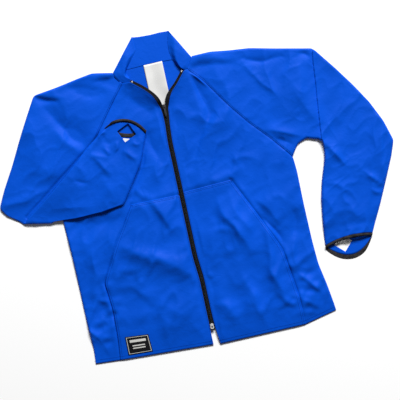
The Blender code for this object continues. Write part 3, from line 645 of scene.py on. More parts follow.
bandScale = 0.314             # a wave texture's scale times the width of one of its bands
threadWave = {"Distortion": 0.6, "Detail": 1.0}
clothLook = {
    "color": (0.001, 0.072, 0.55),
    "roughness": 0.5,
    "roughSpread": (-0.05, 0.07),
    "gloss": 0.05,
    "layer": "cut",
    "threadAcross": 0.0009,
    "threadAlong": 0.0011,
    "weaveStrength": 0.25,
    "weaveDepth": 0.00006,
    "wrinkleScale": 75.0,
    "wrinkleStrength": 0.5,
    "wrinkleDepth": 0.0011,
    "shadeScale": 9.0,
    "shadeAt": (0.32, 0.68),
    "darker": 0.93,
    "lighter": 1.07,
}
metalLook = {
    "color": (0.74, 0.74, 0.76),
    "roughness": 0.3,
    "roughSpread": (-0.06, 0.12),
    "metallic": 0.4,
    "gloss": 0.5,
    "grainScale": 700.0,
    "grainStrength": 0.35,
    "grainDepth": 0.00003,
    "shadeAt": (0.3, 0.7),
    "darker": 0.8,
    "lighter": 1.15,
}
nylon = fabricMaterial("nylon", clothLook)
blackElastic = fabricMaterial("blackElastic", {
    **clothLook, "color": (0.030, 0.028, 0.030), "roughness": 0.8,
    "threadAcross": 0.0022, "threadAlong": 0.0008, "weaveStrength": 0.8, "weaveDepth": 0.0005,
    "wrinkleScale": 260.0, "shadeScale": 120.0, "darker": 0.6, "lighter": 1.7,
})
blackTape = fabricMaterial("blackTape", {
    **clothLook, "color": (0.010, 0.010, 0.012), "roughness": 0.78,
    "threadAcross": 0.0013, "threadAlong": 0.0009, "weaveStrength": 0.6, "weaveDepth": 0.0002,
    "wrinkleScale": 120.0, "darker": 0.8, "lighter": 1.4,
})
blackWoven = fabricMaterial("blackWoven", {
    **clothLook, "color": (0.008, 0.008, 0.010), "roughness": 0.7,
    "threadAcross": 0.0006, "threadAlong": 0.0006, "weaveStrength": 0.5, "weaveDepth": 0.0001,
    "wrinkleStrength": 0.2, "darker": 0.7, "lighter": 1.5,
})
satin = fabricMaterial("satin", {
    **clothLook, "color": (0.68, 0.68, 0.67), "roughness": 0.38, "gloss": 0.4,
    "threadAcross": 0.0007, "threadAlong": 0.0007,
    "wrinkleScale": 30.0, "wrinkleStrength": 0.15, "shadeScale": 14.0, "darker": 0.96, "lighter": 1.04,
})
# dark blue thread, darker than the cloth: partly the thread's own colour, partly painted shade that draws the
# recessed seams as dark lines
blueThread = fabricMaterial("blueThread", {
    **clothLook, "color": (0.001, 0.026, 0.21), "roughness": 0.6, "layer": None,
    "threadAcross": 0.0005, "threadAlong": 0.0005, "weaveStrength": 0.4, "darker": 0.8, "lighter": 1.2,
})
paleThread = fabricMaterial("paleThread", {
    **clothLook, "color": (0.62, 0.62, 0.60), "roughness": 0.65,
    "threadAcross": 0.0006, "threadAlong": 0.0006, "weaveStrength": 0.5, "wrinkleStrength": 0.1,
    "darker": 0.85, "lighter": 1.1,
})
nickel = hardMaterial("nickel", metalLook)
darkMetal = hardMaterial("darkMetal", {
    **metalLook, "color": (0.035, 0.035, 0.040), "roughness": 0.34, "metallic": 0.3, "gloss": 0.6,
    "grainScale": 600.0, "grainDepth": 0.00004,
})
teethPlastic = hardMaterial("teethPlastic", {
    **metalLook, "color": (0.052, 0.055, 0.062), "roughness": 0.36, "metallic": 0.0, "grainScale": 900.0,
    "grainDepth": 0.00005,
})
print("materials")

# fronts
frontMesh = {
    "innerColumns": 62,       # from the zip to the pocket's seam
    "outerColumns": 40,       # from there to the side
    "zipEdge": (0.004, 0.009),
    "sideEdge": (0.78, 0.56, 0.36, 0.2, 0.1, 0.04, 0.01, 0.0),
    "sideIn": 0.6,            # how far a turned side is drawn in
    "hemDrop": 2.9,           # how much lower the hem lies
    "hemRun": (16.0, 46.0),   # over what length it drops at the zip, and how much longer beside it
}
# the closed zip lies in a shallow bow to the wearer's right: its depth, and each end's level and run
zipBend = {"depth": 4.6, "top": (238, 90.0), "foot": (-205, 80.0)}
hemLine = {}
for side in sideways:
    hem = frontCut[side][0]
    hemLine[side] = tuple(zip(*sorted((hem[column], hem[column + 1]) for column in (0, 2, 4))))


def zipBow(y):
    (top, topRun), (foot, footRun) = zipBend["top"], zipBend["foot"]
    return -zipBend["depth"] * rise((top - y) / topRun) * rise((y - foot) / footRun)


def frontGrid(side):
    rows, index = evenRows(frontCut[side], (0, 2, 4), layout["grid"])
    rows[:, 0] += zipBow(rows[:, 1])
    rows[:, 4] -= sideways[side] * rows[:, 6] * frontMesh["sideIn"]
    inner = np.sort(np.concatenate((np.linspace(0.0, 1.0, frontMesh["innerColumns"]), frontMesh["zipEdge"])))
    roll = layout["roll"]
    shortest, longer = frontMesh["hemRun"]
    grid = []
    for zipX, zipY, seamX, seamY, sideX, sideY, turned in rows:
        width = math.hypot(sideX - seamX, sideY - seamY)
        even = np.linspace(0.0, width - roll, frontMesh["outerColumns"])[1:]
        outer = np.concatenate((even, width - roll * np.array(frontMesh["sideEdge"]))) / width
        x = np.concatenate((zipX + (seamX - zipX) * inner, seamX + (sideX - seamX) * outer))
        y = np.concatenate((zipY + (seamY - zipY) * inner, seamY + (sideY - seamY) * outer))
        distance = np.concatenate((np.full(len(inner), 9 * roll), width * (1.0 - outer)))
        down = 1.0 - turned * (1.0 - turnedDown(distance, roll))
        z = layout["edgeHeight"] + (upperHeight(x, y) - layout["edgeHeight"]) * down
        run = shortest + longer * rise((np.abs(x) - 14) / 40.0)
        off = np.clip((y - np.interp(x, *hemLine[side])) / run, 0.0, 1.0)
        z = (layout["frontHeight"] - frontMesh["hemDrop"]) * (1.0 - off) + z * off
        grid.append(np.stack((x, y, z), axis=1))
    grid = np.array(grid)
    smooth(grid[:, 3:-9, 2], 2)
    return grid, rows, index


frontGrids, frontRows, frontIndex = {}, {}, {}
for side in sideways:
    frontGrids[side], frontRows[side], frontIndex[side] = frontGrid(side)
for side in sideways:
    addCloth(named("front", side), frontGrids[side], nylon)
print("fronts")

# pockets, sewn on over the inner part of each front
pocketCut = {
    "wall": 0.36,
    "lift": 1.2,              # above the front's own cloth
    "sewnLift": 0.46,         # the same along its seams
    "seamRun": 16.0,
    "gape": 1.6,              # how far the open edge stands off
    "gapeReach": 14.0,
    "mouth": (-170, 200),     # foot and length of the open edge
}
for side in sideways:
    top = int(np.searchsorted(frontIndex[side], frontCut["pocketTop"])) + 1
    cloth = frontGrids[side][:top, :frontMesh["innerColumns"] + len(frontMesh["zipEdge"])]
    toSeam = np.linalg.norm(cloth - cloth[:, -1:], axis=2)
    toTop = np.linalg.norm(cloth - cloth[-1:], axis=2)
    foot, length = pocketCut["mouth"]
    mouth = np.clip((cloth[:, -1:, 1] - foot) / length, 0.0, 1.0)
    nearSeam = np.exp(-((toSeam / pocketCut["gapeReach"]) ** 2))
    gape = pocketCut["gape"] * np.sin(math.pi * mouth ** 0.7) ** 2 * nearSeam
    loose = rise(toSeam / pocketCut["seamRun"]) * rise(toTop / pocketCut["seamRun"])
    sewn = pocketCut["sewnLift"] + (pocketCut["lift"] - pocketCut["sewnLift"]) * loose
    lifted = cloth + gridNormals(cloth) * (sewn + gape)[..., None]
    addCloth(named("pocket", side), lifted, nylon, pocketCut["wall"])
print("pockets")

# back panel, from the hem to the neck
backCut = {
    "hem": ((-307, -346), (-200, -338), (-60, -324), (0, -322), (60, -324), (200, -336), (315, -342)),
    "neck": ((-106, 359), (-60, 367.5), (0, 371), (50, 367.5), (92, 357)),
    "rows": 90,
    "columns": 61,
    "fronts": 250,            # level up to which its sides follow the fronts'
    "bend": 6,                # the hem's and the neck's bow reach a sixth of the way
}


def backGrid():
    shares, across = np.linspace(0.0, 1.0, backCut["rows"]), np.linspace(0.0, 1.0, backCut["columns"])
    edges, bends = {}, []
    for side, corner in (("left", backCut["neck"][-1]), ("right", backCut["neck"][0])):
        lower = [tuple(row[4:6]) for row in frontRows[side] if row[1] < backCut["fronts"]]
        edges[side] = resampled(lower + list(sleeveCut[side + "Shoulder"]) + [corner], shares)
    for line in (backCut["hem"], backCut["neck"]):
        points = resampled(line, across)
        bends.append(points - (points[0] + (points[-1] - points[0]) * across[:, None]))
    rows = []
    for share, leftPoint, rightPoint in zip(shares, edges["left"], edges["right"]):
        row = rightPoint + (leftPoint - rightPoint) * across[:, None]
        row = row + bends[0] * max(0.0, 1.0 - share * backCut["bend"])
        row = row + bends[1] * max(0.0, 1.0 - (1.0 - share) * backCut["bend"])
        rows.append(np.concatenate((row, np.full((len(row), 1), layout["backHeight"])), axis=1))
    return np.array(rows)


addCloth("backPanel", backGrid(), nylon, layout["backWall"])
print("back")

# sleeves
sleeveEdge = (0.0, 0.02, 0.08, 0.2, 0.36, 0.56, 0.78)
# the upper arm's cloth is pressed in beside the forearm that lies on it
foldTuck = {
    "line": ((-172, 216), (-199, 193), (-242, 162), (-289, 128), (-345, 86), (-396, 50)),
    "depth": 6.0,
    "width": 5.0,
}
foldPress = {"line": ((-404, 42), (-338, 28)), "share": 0.45, "reach": 55.0}    # pressed flatter at the fold


def sleeveColumns(width, count):
    edge = layout["roll"] * np.array(sleeveEdge)
    even = np.linspace(layout["roll"], width - layout["roll"], count)
    return np.concatenate((edge, even, width - edge[::-1]))


def raglanLine(side, shoulder=None):
    seam = frontRows[side][frontIndex[side] >= frontCut["armpit"]][:, 4:6][::-1]
    if shoulder:
        seam = np.concatenate((np.array(shoulder)[::-1], seam[seam[:, 1] < sleeveCut["shoulderTop"]]))
    outer, under = np.array(sleeveCut[side][0][0:2]), np.array(sleeveCut[side][0][2:4])
    return np.concatenate((outer[None], seam, under[None]))


def sleeveGrid(side, wallSide, shoulder):
    fine = (sleeveCut["pleatSection"],) if side == "left" else ()
    rows, index = evenRows(sleeveCut[side], (0, 2), layout["grid"], turnColumn=6, soften=4, fine=fine)
    columns = sleeveCut["plainColumns" if (side, wallSide) == ("left", "back") else "columns"]
    raglan = raglanLine(side, shoulder)
    cuffFrom, cuffRun = sleeveCut["cuffStart"]
    grid = []
    for place, row in zip(index, rows):
        outerX, outerY, underX, underY, frontBow, backBow, turn, sink = row
        line = np.array((underX - outerX, underY - outerY))
        width = float(np.hypot(*line))
        line /= width
        ahead = np.array((-line[1], line[0]))
        if outerX < 0 and turn <= 90:
            ahead = -ahead
        across = sleeveColumns(width, columns)
        bow = frontBow if wallSide == "front" else backBow
        bowed = bow * np.sin(math.pi * np.clip(across / width, 0.0, 1.0 - 1e-9)) ** 0.8
        x = outerX + line[0] * across + ahead[0] * bowed
        y = outerY + line[1] * across + ahead[1] * bowed
        if place < 1.0:                  # the first section follows the raglan seam
            seam = resampled(raglan, across / width)
            x, y = seam[:, 0] + (x - seam[:, 0]) * place, seam[:, 1] + (y - seam[:, 1]) * place
            x = x + sideways[side] * layout["seamGap"] * (1.0 - place)
        edge = np.minimum(across, width - across)
        down = turnedDown(edge, layout["roll"])
        spread = layout["edgeHeight"] + (layout["frontHeight"] - layout["edgeHeight"]) * down
        if side == "left":
            spread = spread - layout["cuffDrop"] * down * rise((place - cuffFrom) / cuffRun)
        angle = math.radians(turn)
        if wallSide == "back":
            over = rise((turn - 70) / 100.0)    # on top once the sleeve is folded over
            depth = layout["backHeight"] + layout["overRoll"] * over * (1.0 - down)
        elif turn < 90:
            relief = upperRelief(x, y)
            if side == "right":
                beside = lineDistance(x, y, foldTuck["line"])[0]
                relief = relief - foldTuck["depth"] * np.exp(-((beside / foldTuck["width"]) ** 2))
            depth = np.maximum(spread + down * relief * math.cos(angle), layout["edgeHeight"])
        else:
            depth = spread
        radius = layout["foldAxis"] - depth
        x = x + line[1] * radius * math.sin(angle)
        y = y - line[0] * radius * math.sin(angle)
        z = layout["foldAxis"] - radius * math.cos(angle)
        if turn > 90:
            z = z - 0.5 * sink
            if wallSide == "back":
                relief = np.maximum(forearmRelief(x, y), -layout["overDip"])
                z = z + turnedDown(edge, layout["overEdge"]) * relief
        if side == "right":
            pressed = np.exp(-((lineDistance(x, y, foldPress["line"])[0] / foldPress["reach"]) ** 2))
            z = layout["backHeight"] + (z - layout["backHeight"]) * (1.0 - foldPress["share"] * pressed)
        grid.append(np.stack((x, y, z), axis=1))
    return np.array(grid)


def cutWindow(piece, window):
    *centre, side, turn = window
    shape = bmesh.new()
    bmesh.ops.create_cube(shape, size=1.0)
    bmesh.ops.scale(shape, vec=Vector((side, side, sleeveCut["windowDepth"])) * mm, verts=shape.verts)
    shape.transform(Matrix.Translation(Vector(centre) * mm) @ Matrix.Rotation(math.radians(turn), 4, "Z"))
    cutter = makeObject(piece.name + "Window", meshFrom(piece.name + "Window", shape))
    cut = piece.modifiers.new("window", "BOOLEAN")
    cut.operation = "DIFFERENCE"
    cut.object = cutter
    makePlain(piece)
    bpy.data.objects.remove(cutter)


sleevePieces, sleeveGrids = {}, {}
for side in sideways:
    for wallSide in ("front", "back"):
        grid = sleeveGrid(side, wallSide, sleeveCut[side + "Shoulder"] if wallSide == "back" else None)
        sleeveGrids[side, wallSide] = grid
        sleevePieces[side, wallSide] = addCloth(named("sleeve", side, wallSide), grid, nylon)
cutWindow(sleevePieces["left", "back"], sleeveCut["leftWindow"])
cutWindow(sleevePieces["right", "back"], sleeveCut["rightWindow"])
print("sleeves")

# cuff bindings: a gathered band beyond each sleeve wall's end
bindingCut = {
    "reach": (0.1, 1.2, 3.2, 5.2, 7.2, 8.8, 9.4),
    "wall": 1.4,
    "puff": 0.9,
    "aslant": {("left", "front"), ("right", "back")},    # bands that are seen aslant
    "aslantReach": 0.66,
    "aslantPuff": 3.7,
    "rib": 0.35,              # height of the gathers
    "pitch": 4.2,
    "turned": 0.8,            # how far a band heads straight away from the sleeve's edge
    "turnedFrom": (6, 16.0),  # column from either end where that starts, and the run
    "onFloor": 0.15,          # share of the puff where a band lies on the floor
}
for (side, wallSide), grid in sleeveGrids.items():
    edge = grid[-1]
    ahead = grid[-1] - grid[-4]
    tangent = np.gradient(edge, axis=0)
    ahead[:, 2], tangent[:, 2] = 0.0, 0.0
    ahead = unit(ahead)
    straight = np.stack((-tangent[:, 1], tangent[:, 0], np.zeros(len(edge))), axis=1)
    straight *= np.sign((straight * ahead).sum(axis=1))[:, None]
    aside = straight / np.maximum(np.linalg.norm(tangent, axis=1, keepdims=True), 0.02)
    fromEnd = np.minimum(np.arange(len(edge)), np.arange(len(edge))[::-1])[:, None]
    turnedFrom, turnedRun = bindingCut["turnedFrom"]
    turned = bindingCut["turned"] * rise((fromEnd - turnedFrom) / turnedRun)
    ahead = (1 - turned) * ahead + turned * aside
    smooth(ahead, 6)
    ahead = unit(ahead)
    gather = np.cumsum(np.linalg.norm(np.diff(edge, axis=0, prepend=edge[:1]), axis=1))
    aslant = (side, wallSide) in bindingCut["aslant"]
    share = bindingCut["aslantReach"] if aslant else 1.0
    band = np.stack([edge + ahead * reach * share for reach in bindingCut["reach"]], axis=1)
    puff = bindingCut["puff"] * (bindingCut["aslantPuff"] if aslant else 1.0)
    puff = puff * np.sin(math.pi * np.linspace(0.05, 0.95, len(bindingCut["reach"])))
    ribs = bindingCut["rib"] * np.sin(2 * math.pi * gather / bindingCut["pitch"])
    flat = (side, wallSide) == ("left", "back")
    puff = puff * (bindingCut["onFloor"] if flat else 1.0)
    band[..., 2] += puff + np.abs(ribs)[:, None] * (0.0 if flat else 1.0)
    addCloth(named("cuffBinding", side, wallSide), band, blackElastic, bindingCut["wall"])
print("cuff bindings")

# collar: neck seam x y, top edge x y, height of both
collarCut = {
    "stations": (
        (-68, 328.2, -70, 341, 5.0, 6.0),
        (-77, 328.8, -74, 347, 5.2, 6.8),
        (-85, 329.4, -76, 354, 5.4, 7.4),
        (-93, 334, -72, 363, 5.8, 7.8),
        (-99, 343, -59, 379, 6.2, 8.2),
        (-104, 351, -40, 404, 6.2, 8.2),
        (-106, 356.5, -41, 430, 5.8, 6.6),
        (-107.3, 358.5, -42.6, 435.5, 5.1, 5.7),
        (-108, 360, -43.5, 438.5, 3.3, 3.6),
        (-107.2, 361, -42.4, 438, 1.4, 1.4),
        (-104.5, 361, -40, 437, 1.3, 0.7),
        (-60, 364.6, -22, 435, 1.3, 0.7),
        (0, 367.4, 4, 434, 1.3, 0.7),
        (50, 364.6, 28, 435, 1.3, 0.7),
        (89, 358.4, 46, 434, 1.3, 0.7),
        (92.5, 358.5, 50, 434.5, 1.4, 1.4),
        (93.6, 357, 51.5, 434, 3.3, 3.6),
        (92.8, 354.5, 50.4, 431, 5.1, 5.7),
        (91, 351.5, 47.5, 424, 5.8, 6.6),
        (87.5, 345, 42, 403, 6.2, 8.2),
        (83.5, 338, 41, 382, 6.2, 8.2),
        (79, 332, 44, 362, 5.6, 7.8),
        (74, 330, 51, 348, 5.2, 7.0),
        (68, 329.2, 58, 340, 5.0, 6.0),
    ),
    "spacing": 2.2,
    "columns": 30,
    "wall": 0.5,
    "foot": 1.5,              # height of the free edge
    "right": {"rollFrom": 0.5, "swell": 1.8},    # where each half rolls down, and how far it stands up
    "left": {"rollFrom": 0.66, "swell": 3.6},
    "folds": ((26, 51, 1.6, 70, 1.0),),
    "tuck": ((4.5, 2.6), (3.0, 1.9), (1.5, 0.9)),    # reach and drop of the seam allowance
}
stations, _ = evenRows(collarCut["stations"], (0, 2), collarCut["spacing"], soften=2)
share = np.linspace(0.0, 1.0, collarCut["columns"])[None, :]
neckSeam, topEdge = stations[:, None, [0, 1, 4]], stations[:, None, [2, 3, 5]]
collarGrid = neckSeam * (1 - share[..., None]) + topEdge * share[..., None]
raised = rise((stations[:, None, 5] - collarCut["foot"]) / 4.0)
ownLeft = stations[:, None, 0] > 0
left, right = collarCut["left"], collarCut["right"]
rollFrom = np.where(ownLeft, left["rollFrom"], right["rollFrom"])
rolled = rise((share - rollFrom) / (1.0 - rollFrom))
loose = collarGrid[..., 2] + np.where(ownLeft, left["swell"], right["swell"]) * np.sin(math.pi * share ** 1.4)
loose += smallFolds(collarGrid[..., 0], collarGrid[..., 1], collarCut["folds"])
# its foot is sewn at the fronts' height, and its free edge rolls down onto the back
loose += (layout["frontHeight"] - stations[:, None, 4]) * (1 - rise(share / 0.2))
folded = loose * (1 - rolled) + collarCut["foot"] * rolled
collarGrid[..., 2] = collarGrid[..., 2] * (1 - raised) + folded * raised
outward = unit(stations[:, [0, 1]] - stations[:, [2, 3]])
tucks = []
for reach, drop in collarCut["tuck"]:    # the seam allowance runs on below the shoulder
    low = np.maximum(collarGrid[:, 0, 2] - drop, np.minimum(collarGrid[:, 0, 2], 1.3))
    tucks.append(np.concatenate((collarGrid[:, 0, :2] + outward * reach, low[:, None]), axis=1))
collarGrid = np.concatenate((np.stack(tucks, axis=1), collarGrid), axis=1)
addCloth("standCollar", collarGrid, nylon, collarCut["wall"])
print("collar")

# zip: straight chain up to the slider, then two open halves
zipCut = {
    "foot": -324,
    "open": 250,
    "half": 12.2,             # half width of the tape
    "gap": 0.3,               # between the tapes, to either side
    "wall": 0.7,
    "shown": 7.5,             # tape beside an open edge
    "hidden": 4.0,            # tape under that edge
    "under": 0.95,            # tape below the cloth's middle
    "tooth": (2.5, 1.7, 2.0),    # across, along, height
    "pitch": 3.1,
    "chainLift": 0.75,
    "chainEnds": (14, 8),     # how far the closed chain ends above the foot and below the opening
    "tapeEnd": 14,            # how far below the opening the straight tape ends
    "openLift": 1.4,
    "toothIn": 1.2,           # a row of teeth, in from its tape's edge
    "apart": 2.6,             # distance from the middle where the open teeth start
}


def openEdge(side, count):  # edge of the open neck, from the slider to the collar's top
    half = openHalves[side]
    return smoothLine([(sideways[side] * 9, 240), *half["line"][1:4], half["tapeTop"]], count)


def unitNormals(path):  # to the left of a path
    tangent = unit(np.gradient(path, axis=0))
    return np.stack((-tangent[:, 1], tangent[:, 0]), axis=1)


def tapeHeight(x, y):
    return layout["frontHeight"] - zipCut["under"] + neckRise(x, y)


def tapeGrid(side):
    away, gap = sideways[side], zipCut["gap"]
    across = np.linspace(0.0, 1.0, 9)
    rows = [np.stack((zipBow(y) + away * (gap + (zipCut["half"] - gap) * across), np.full(9, y)), axis=1)
            for y in np.linspace(zipCut["foot"], zipCut["open"] - zipCut["tapeEnd"], 130)]
    edge = openEdge(side, 60)[6:]
    for point, inward in zip(edge, away * unitNormals(edge)):
        shown = point + inward * zipCut["shown"]
        shown[0] = away * max(away * shown[0], gap)
        rows.append(shown + (point - inward * zipCut["hidden"] - shown) * across[:, None])
    flat = np.array(rows)
    smooth(flat, 4)
    return np.concatenate((flat, tapeHeight(flat[..., 0], flat[..., 1])[..., None]), axis=2)


for side in sideways:
    addCloth(named("zipTape", side), tapeGrid(side), blackTape, zipCut["wall"])
print("zip tapes")


def pathObject(name, paths):  # loose edges through lists of points in millimetres
    points, edges = [], []
    for path in paths:
        first = len(points)
        points += [tuple(np.asarray(point) * mm) for point in path]
        edges += [(first + step, first + step + 1) for step in range(len(path) - 1)]
    mesh = bpy.data.meshes.new(name)
    mesh.from_pydata(points, edges, [])
    return makeObject(name, mesh)


def alongTree(name, shape):  # copies of a small form at even steps along a path
    tree = bpy.data.node_groups.new(name, "GeometryNodeTree")
    sockets = {label: "Float" for label in ("Step", "Across", "Along", "Height", "Sideways")}
    for label, kind in {"Path": "Geometry", **sockets, "Seed": "Int", "Finish": "Material"}.items():
        tree.interface.new_socket(label, in_out="INPUT", socket_type="NodeSocket" + kind)
    tree.interface.new_socket("Mesh", in_out="OUTPUT", socket_type="NodeSocketGeometry")

    def node(kind, *links, **settings):
        return addNode(tree, kind, settings, links)

    given = node("NodeGroupInput")
    curve = node("GeometryNodeMeshToCurve", (given, "Path", "Mesh"))
    points = node("GeometryNodeCurveToPoints", (curve, "Curve", "Curve"), (given, "Step", "Length"),
                  mode="LENGTH")
    turn = node("FunctionNodeAlignRotationToVector", (points, "Tangent", "Vector"), axis="Y", pivot_axis="Z")
    # every other copy stands to the other side
    number = node("GeometryNodeInputIndex")
    parity = addNode(tree, "ShaderNodeMath", {"operation": "MODULO", 1: 2.0}, [(number, "Index", 0)])
    flip = addNode(tree, "ShaderNodeMath", {"operation": "MULTIPLY_ADD", 1: 2.0, 2: -1.0}, [(parity, 0, 0)])
    aside = node("ShaderNodeMath", (flip, 0, 0), (given, "Sideways", 1), operation="MULTIPLY")
    offset = node("ShaderNodeCombineXYZ", (aside, 0, "X"))
    if shape == "tooth":  # a bar with a round head
        sides = ((given, "Across", "X"), (given, "Along", "Y"), (given, "Height", "Z"))
        size = node("ShaderNodeCombineXYZ", *sides)
        bar = node("GeometryNodeMeshCube", (size, "Vector", "Size"))
        narrow = addNode(tree, "ShaderNodeMath", {"operation": "MULTIPLY", 1: 0.72}, [(given, "Along", 0)])
        head = node("GeometryNodeMeshCylinder", (narrow, 0, "Radius"), (given, "Height", "Depth"), Vertices=8)
        form = node("GeometryNodeJoinGeometry", (bar, "Mesh", "Geometry"), (head, "Mesh", "Geometry"))
    else:  # a stitch: a short thread, lying along the path
        thread = node("GeometryNodeMeshCylinder", (given, "Across", "Radius"), (given, "Along", "Depth"),
                      Vertices=6)
        form = node("GeometryNodeTransform", (thread, "Mesh", "Geometry"), Rotation=(math.pi / 2, 0.0, 0.0))
    # a little unevenness
    settings = {"data_type": "FLOAT", 2: 0.92, 3: 1.06}
    uneven = addNode(tree, "FunctionNodeRandomValue", settings, [(given, "Seed", "Seed")])
    copies = node("GeometryNodeInstanceOnPoints", (points, "Points", "Points"),
                  (form, "Geometry", "Instance"), (turn, "Rotation", "Rotation"), (uneven, 1, "Scale"))
    moved = node("GeometryNodeTranslateInstances", (copies, "Instances", "Instances"),
                 (offset, "Vector", "Translation"))
    real = node("GeometryNodeRealizeInstances", (moved, "Instances", "Geometry"))
    finish = node("GeometryNodeSetMaterial", (real, "Geometry", "Geometry"), (given, "Finish", "Material"))
    node("NodeGroupOutput", (finish, "Geometry", "Mesh"))
    return tree


toothTree, stitchTree = alongTree("teethAlongPath", "tooth"), alongTree("stitchesAlongPath", "stitch")


def repeated(name, paths, tree, sizes, finish):
    piece = pathObject(name, paths)
    copies = piece.modifiers.new("copies", "NODES")
    copies.node_group = tree
    for item in tree.interface.items_tree:
        if item.in_out == "INPUT" and item.name in sizes:
            copies[item.identifier] = sizes[item.name]
        if item.in_out == "INPUT" and item.name == "Finish":
            copies[item.identifier] = finish
    makePlain(piece)
    print(name, len(piece.data.polygons), "faces")


toothAcross, toothAlong, toothHeight = zipCut["tooth"]
toothSizes = {
    "Across": toothAcross * mm, "Along": toothAlong * mm, "Height": toothHeight * mm,
    "Step": zipCut["pitch"] / 2 * mm, "Sideways": 1.15 * mm, "Seed": 3,
}
chainHeight = layout["frontHeight"] + zipCut["chainLift"]
above, below = zipCut["chainEnds"]
chainLevels = np.linspace(zipCut["foot"] + above, zipCut["open"] - below, 60)
chainPath = [(zipBow(y), y, chainHeight) for y in chainLevels]
repeated("zipChain", [chainPath], toothTree, toothSizes, teethPlastic)
for side, away in sideways.items():
    edge = openEdge(side, 60)[14:-3]
    row = edge + away * unitNormals(edge) * (zipCut["shown"] - zipCut["toothIn"])
    path = [(x, y, tapeHeight(x, y) + zipCut["openLift"]) for x, y in row if away * x > zipCut["apart"]]
    sizes = {**toothSizes, "Step": zipCut["pitch"] * mm, "Sideways": 0.0, "Seed": 5}
    repeated(named("zipTeeth", side), [path], toothTree, sizes, teethPlastic)
print("zip teeth")


def roundedPlate(name, outline, low, high, finish, bevel, hole=None):  # a plate with eased edges
    shape = bmesh.new()
    loops = []
    for height in (low, high):
        for line in (outline, hole) if hole else (outline,):
            loops.append([shape.verts.new((x * mm, y * mm, height * mm)) for x, y in line])
    if hole:
        for outer, inner in ((loops[0], loops[1]), (loops[2], loops[3])):
            for step in range(len(outer)):
                after = (step + 1) % len(outer)
                shape.faces.new((outer[step], outer[after], inner[after], inner[step]))
        walls = ((loops[0], loops[2]), (loops[1], loops[3]))
    else:
        shape.faces.new(loops[0])
        shape.faces.new(loops[1])
        walls = ((loops[0], loops[1]),)
    for bottom, top in walls:
        for step in range(len(bottom)):
            after = (step + 1) % len(bottom)
            shape.faces.new((bottom[step], bottom[after], top[after], top[step]))
    bmesh.ops.recalc_face_normals(shape, faces=shape.faces)
    sharp = [edge for edge in shape.edges if edge.calc_face_angle(0.0) > 1.0]
    bmesh.ops.bevel(shape, geom=sharp, offset=bevel * mm, segments=2, affect="EDGES", profile=0.6)
    mesh = meshFrom(name, shape)
    mesh.shade_smooth()
    mesh.set_sharp_from_angle(angle=math.radians(40))
    return makeObject(name, mesh, finish)


def joined(name, pieces):  # several pieces as one
    shape = bmesh.new()
    for piece in pieces:
        shape.from_mesh(piece.data)
    mesh = pieces[0].data.copy()
    mesh.name = name
    shape.to_mesh(mesh)
    shape.free()
    for piece in pieces:
        bpy.data.objects.remove(piece)
    makeObject(name, mesh)


def mirrored(half):  # an outline from its right half
    return half + [(-x, y) for x, y in half[::-1]]


sliderLook = {
    "upper": {"y": 248.5, "width": 8.8, "length": 11.6, "height": 4.6, "waist": 0.86},
    "lower": {"y": -313.9, "width": 8.8, "length": 6.6, "height": 3.8, "waist": 0.9},
    "chainLow": layout["frontHeight"] - 0.2,
}


def sliderPiece(name, look, finish):  # two wings held apart by a wedge, with the tab's bridge on top
    half, length, y = look["width"] / 2, look["length"] / 2, look["y"]
    low = sliderLook["chainLow"]
    top = low + look["height"]
    wing = mirrored([
        (half * look["waist"], y - length), (half, y + length * 0.2), (half * 0.93, y + length * 0.8),
        (half * 0.6, y + length),
    ])
    wedge = [(half * 0.35, y), (0.0, y + length * 0.9), (-half * 0.35, y), (0.0, y - length * 0.5)]
    bridge = mirrored([(1.2, y - length * 0.55), (1.2, y + length * 0.75)])
    joined(name, [
        roundedPlate(name + "Wing", wing, low, low + 0.9, finish, 0.3),
        roundedPlate(name + "Top", wing, top - 2.1, top - 1.2, finish, 0.35),
        roundedPlate(name + "Wedge", wedge, low + 0.5, top - 1.6, finish, 0.15),
        roundedPlate(name + "Bridge", bridge, top - 1.4, top, finish, 0.4),
    ])


sliderPiece("sliderUpper", sliderLook["upper"], darkMetal)
sliderPiece("sliderLower", sliderLook["lower"], nickel)


def tabOutline(look, count=28):  # rounded, and narrower at the hinge
    radius, topShare = look["width"] / 2, look["top"]
    points = []
    for angle in 2 * math.pi * np.linspace(0.0, 1.0, count, endpoint=False):
        down = (1 - math.cos(angle)) / 2
        reach = radius * (topShare + (1 - topShare) * rise(down * 1.15)) * abs(math.sin(angle)) ** 0.55
        points.append((math.copysign(reach, math.sin(angle)), look["hinge"] - look["length"] * down))
    return points[::-1]


def tabHole(look, count=28):
    drop, wide, long = look["hole"]
    angles = math.pi / 2 + np.arange(count) * 2 * math.pi / count
    return [(wide * math.cos(angle), look["hinge"] - drop + long * math.sin(angle)) for angle in angles]


# tabs: the hole's distance below the hinge, and its half width and half length
pullLook = {
    "upper": {
        "width": 5.2, "length": 26.0, "top": 0.8, "wall": 1.2,
        "hinge": 249.5, "low": 9.3, "hole": (4.0, 1.3, 2.0),
    },
    "lower": {
        "width": 10.7, "length": 14.6, "top": 0.34, "wall": 1.4,
        "hinge": -309.0, "low": 8.5, "hole": (9.2, 2.4, 2.4),
    },
}
for name, finish in (("upper", darkMetal), ("lower", nickel)):
    look = pullLook[name]
    high = look["low"] + look["wall"]
    roundedPlate(named("pull", name), tabOutline(look), look["low"], high, finish, 0.3, tabHole(look))

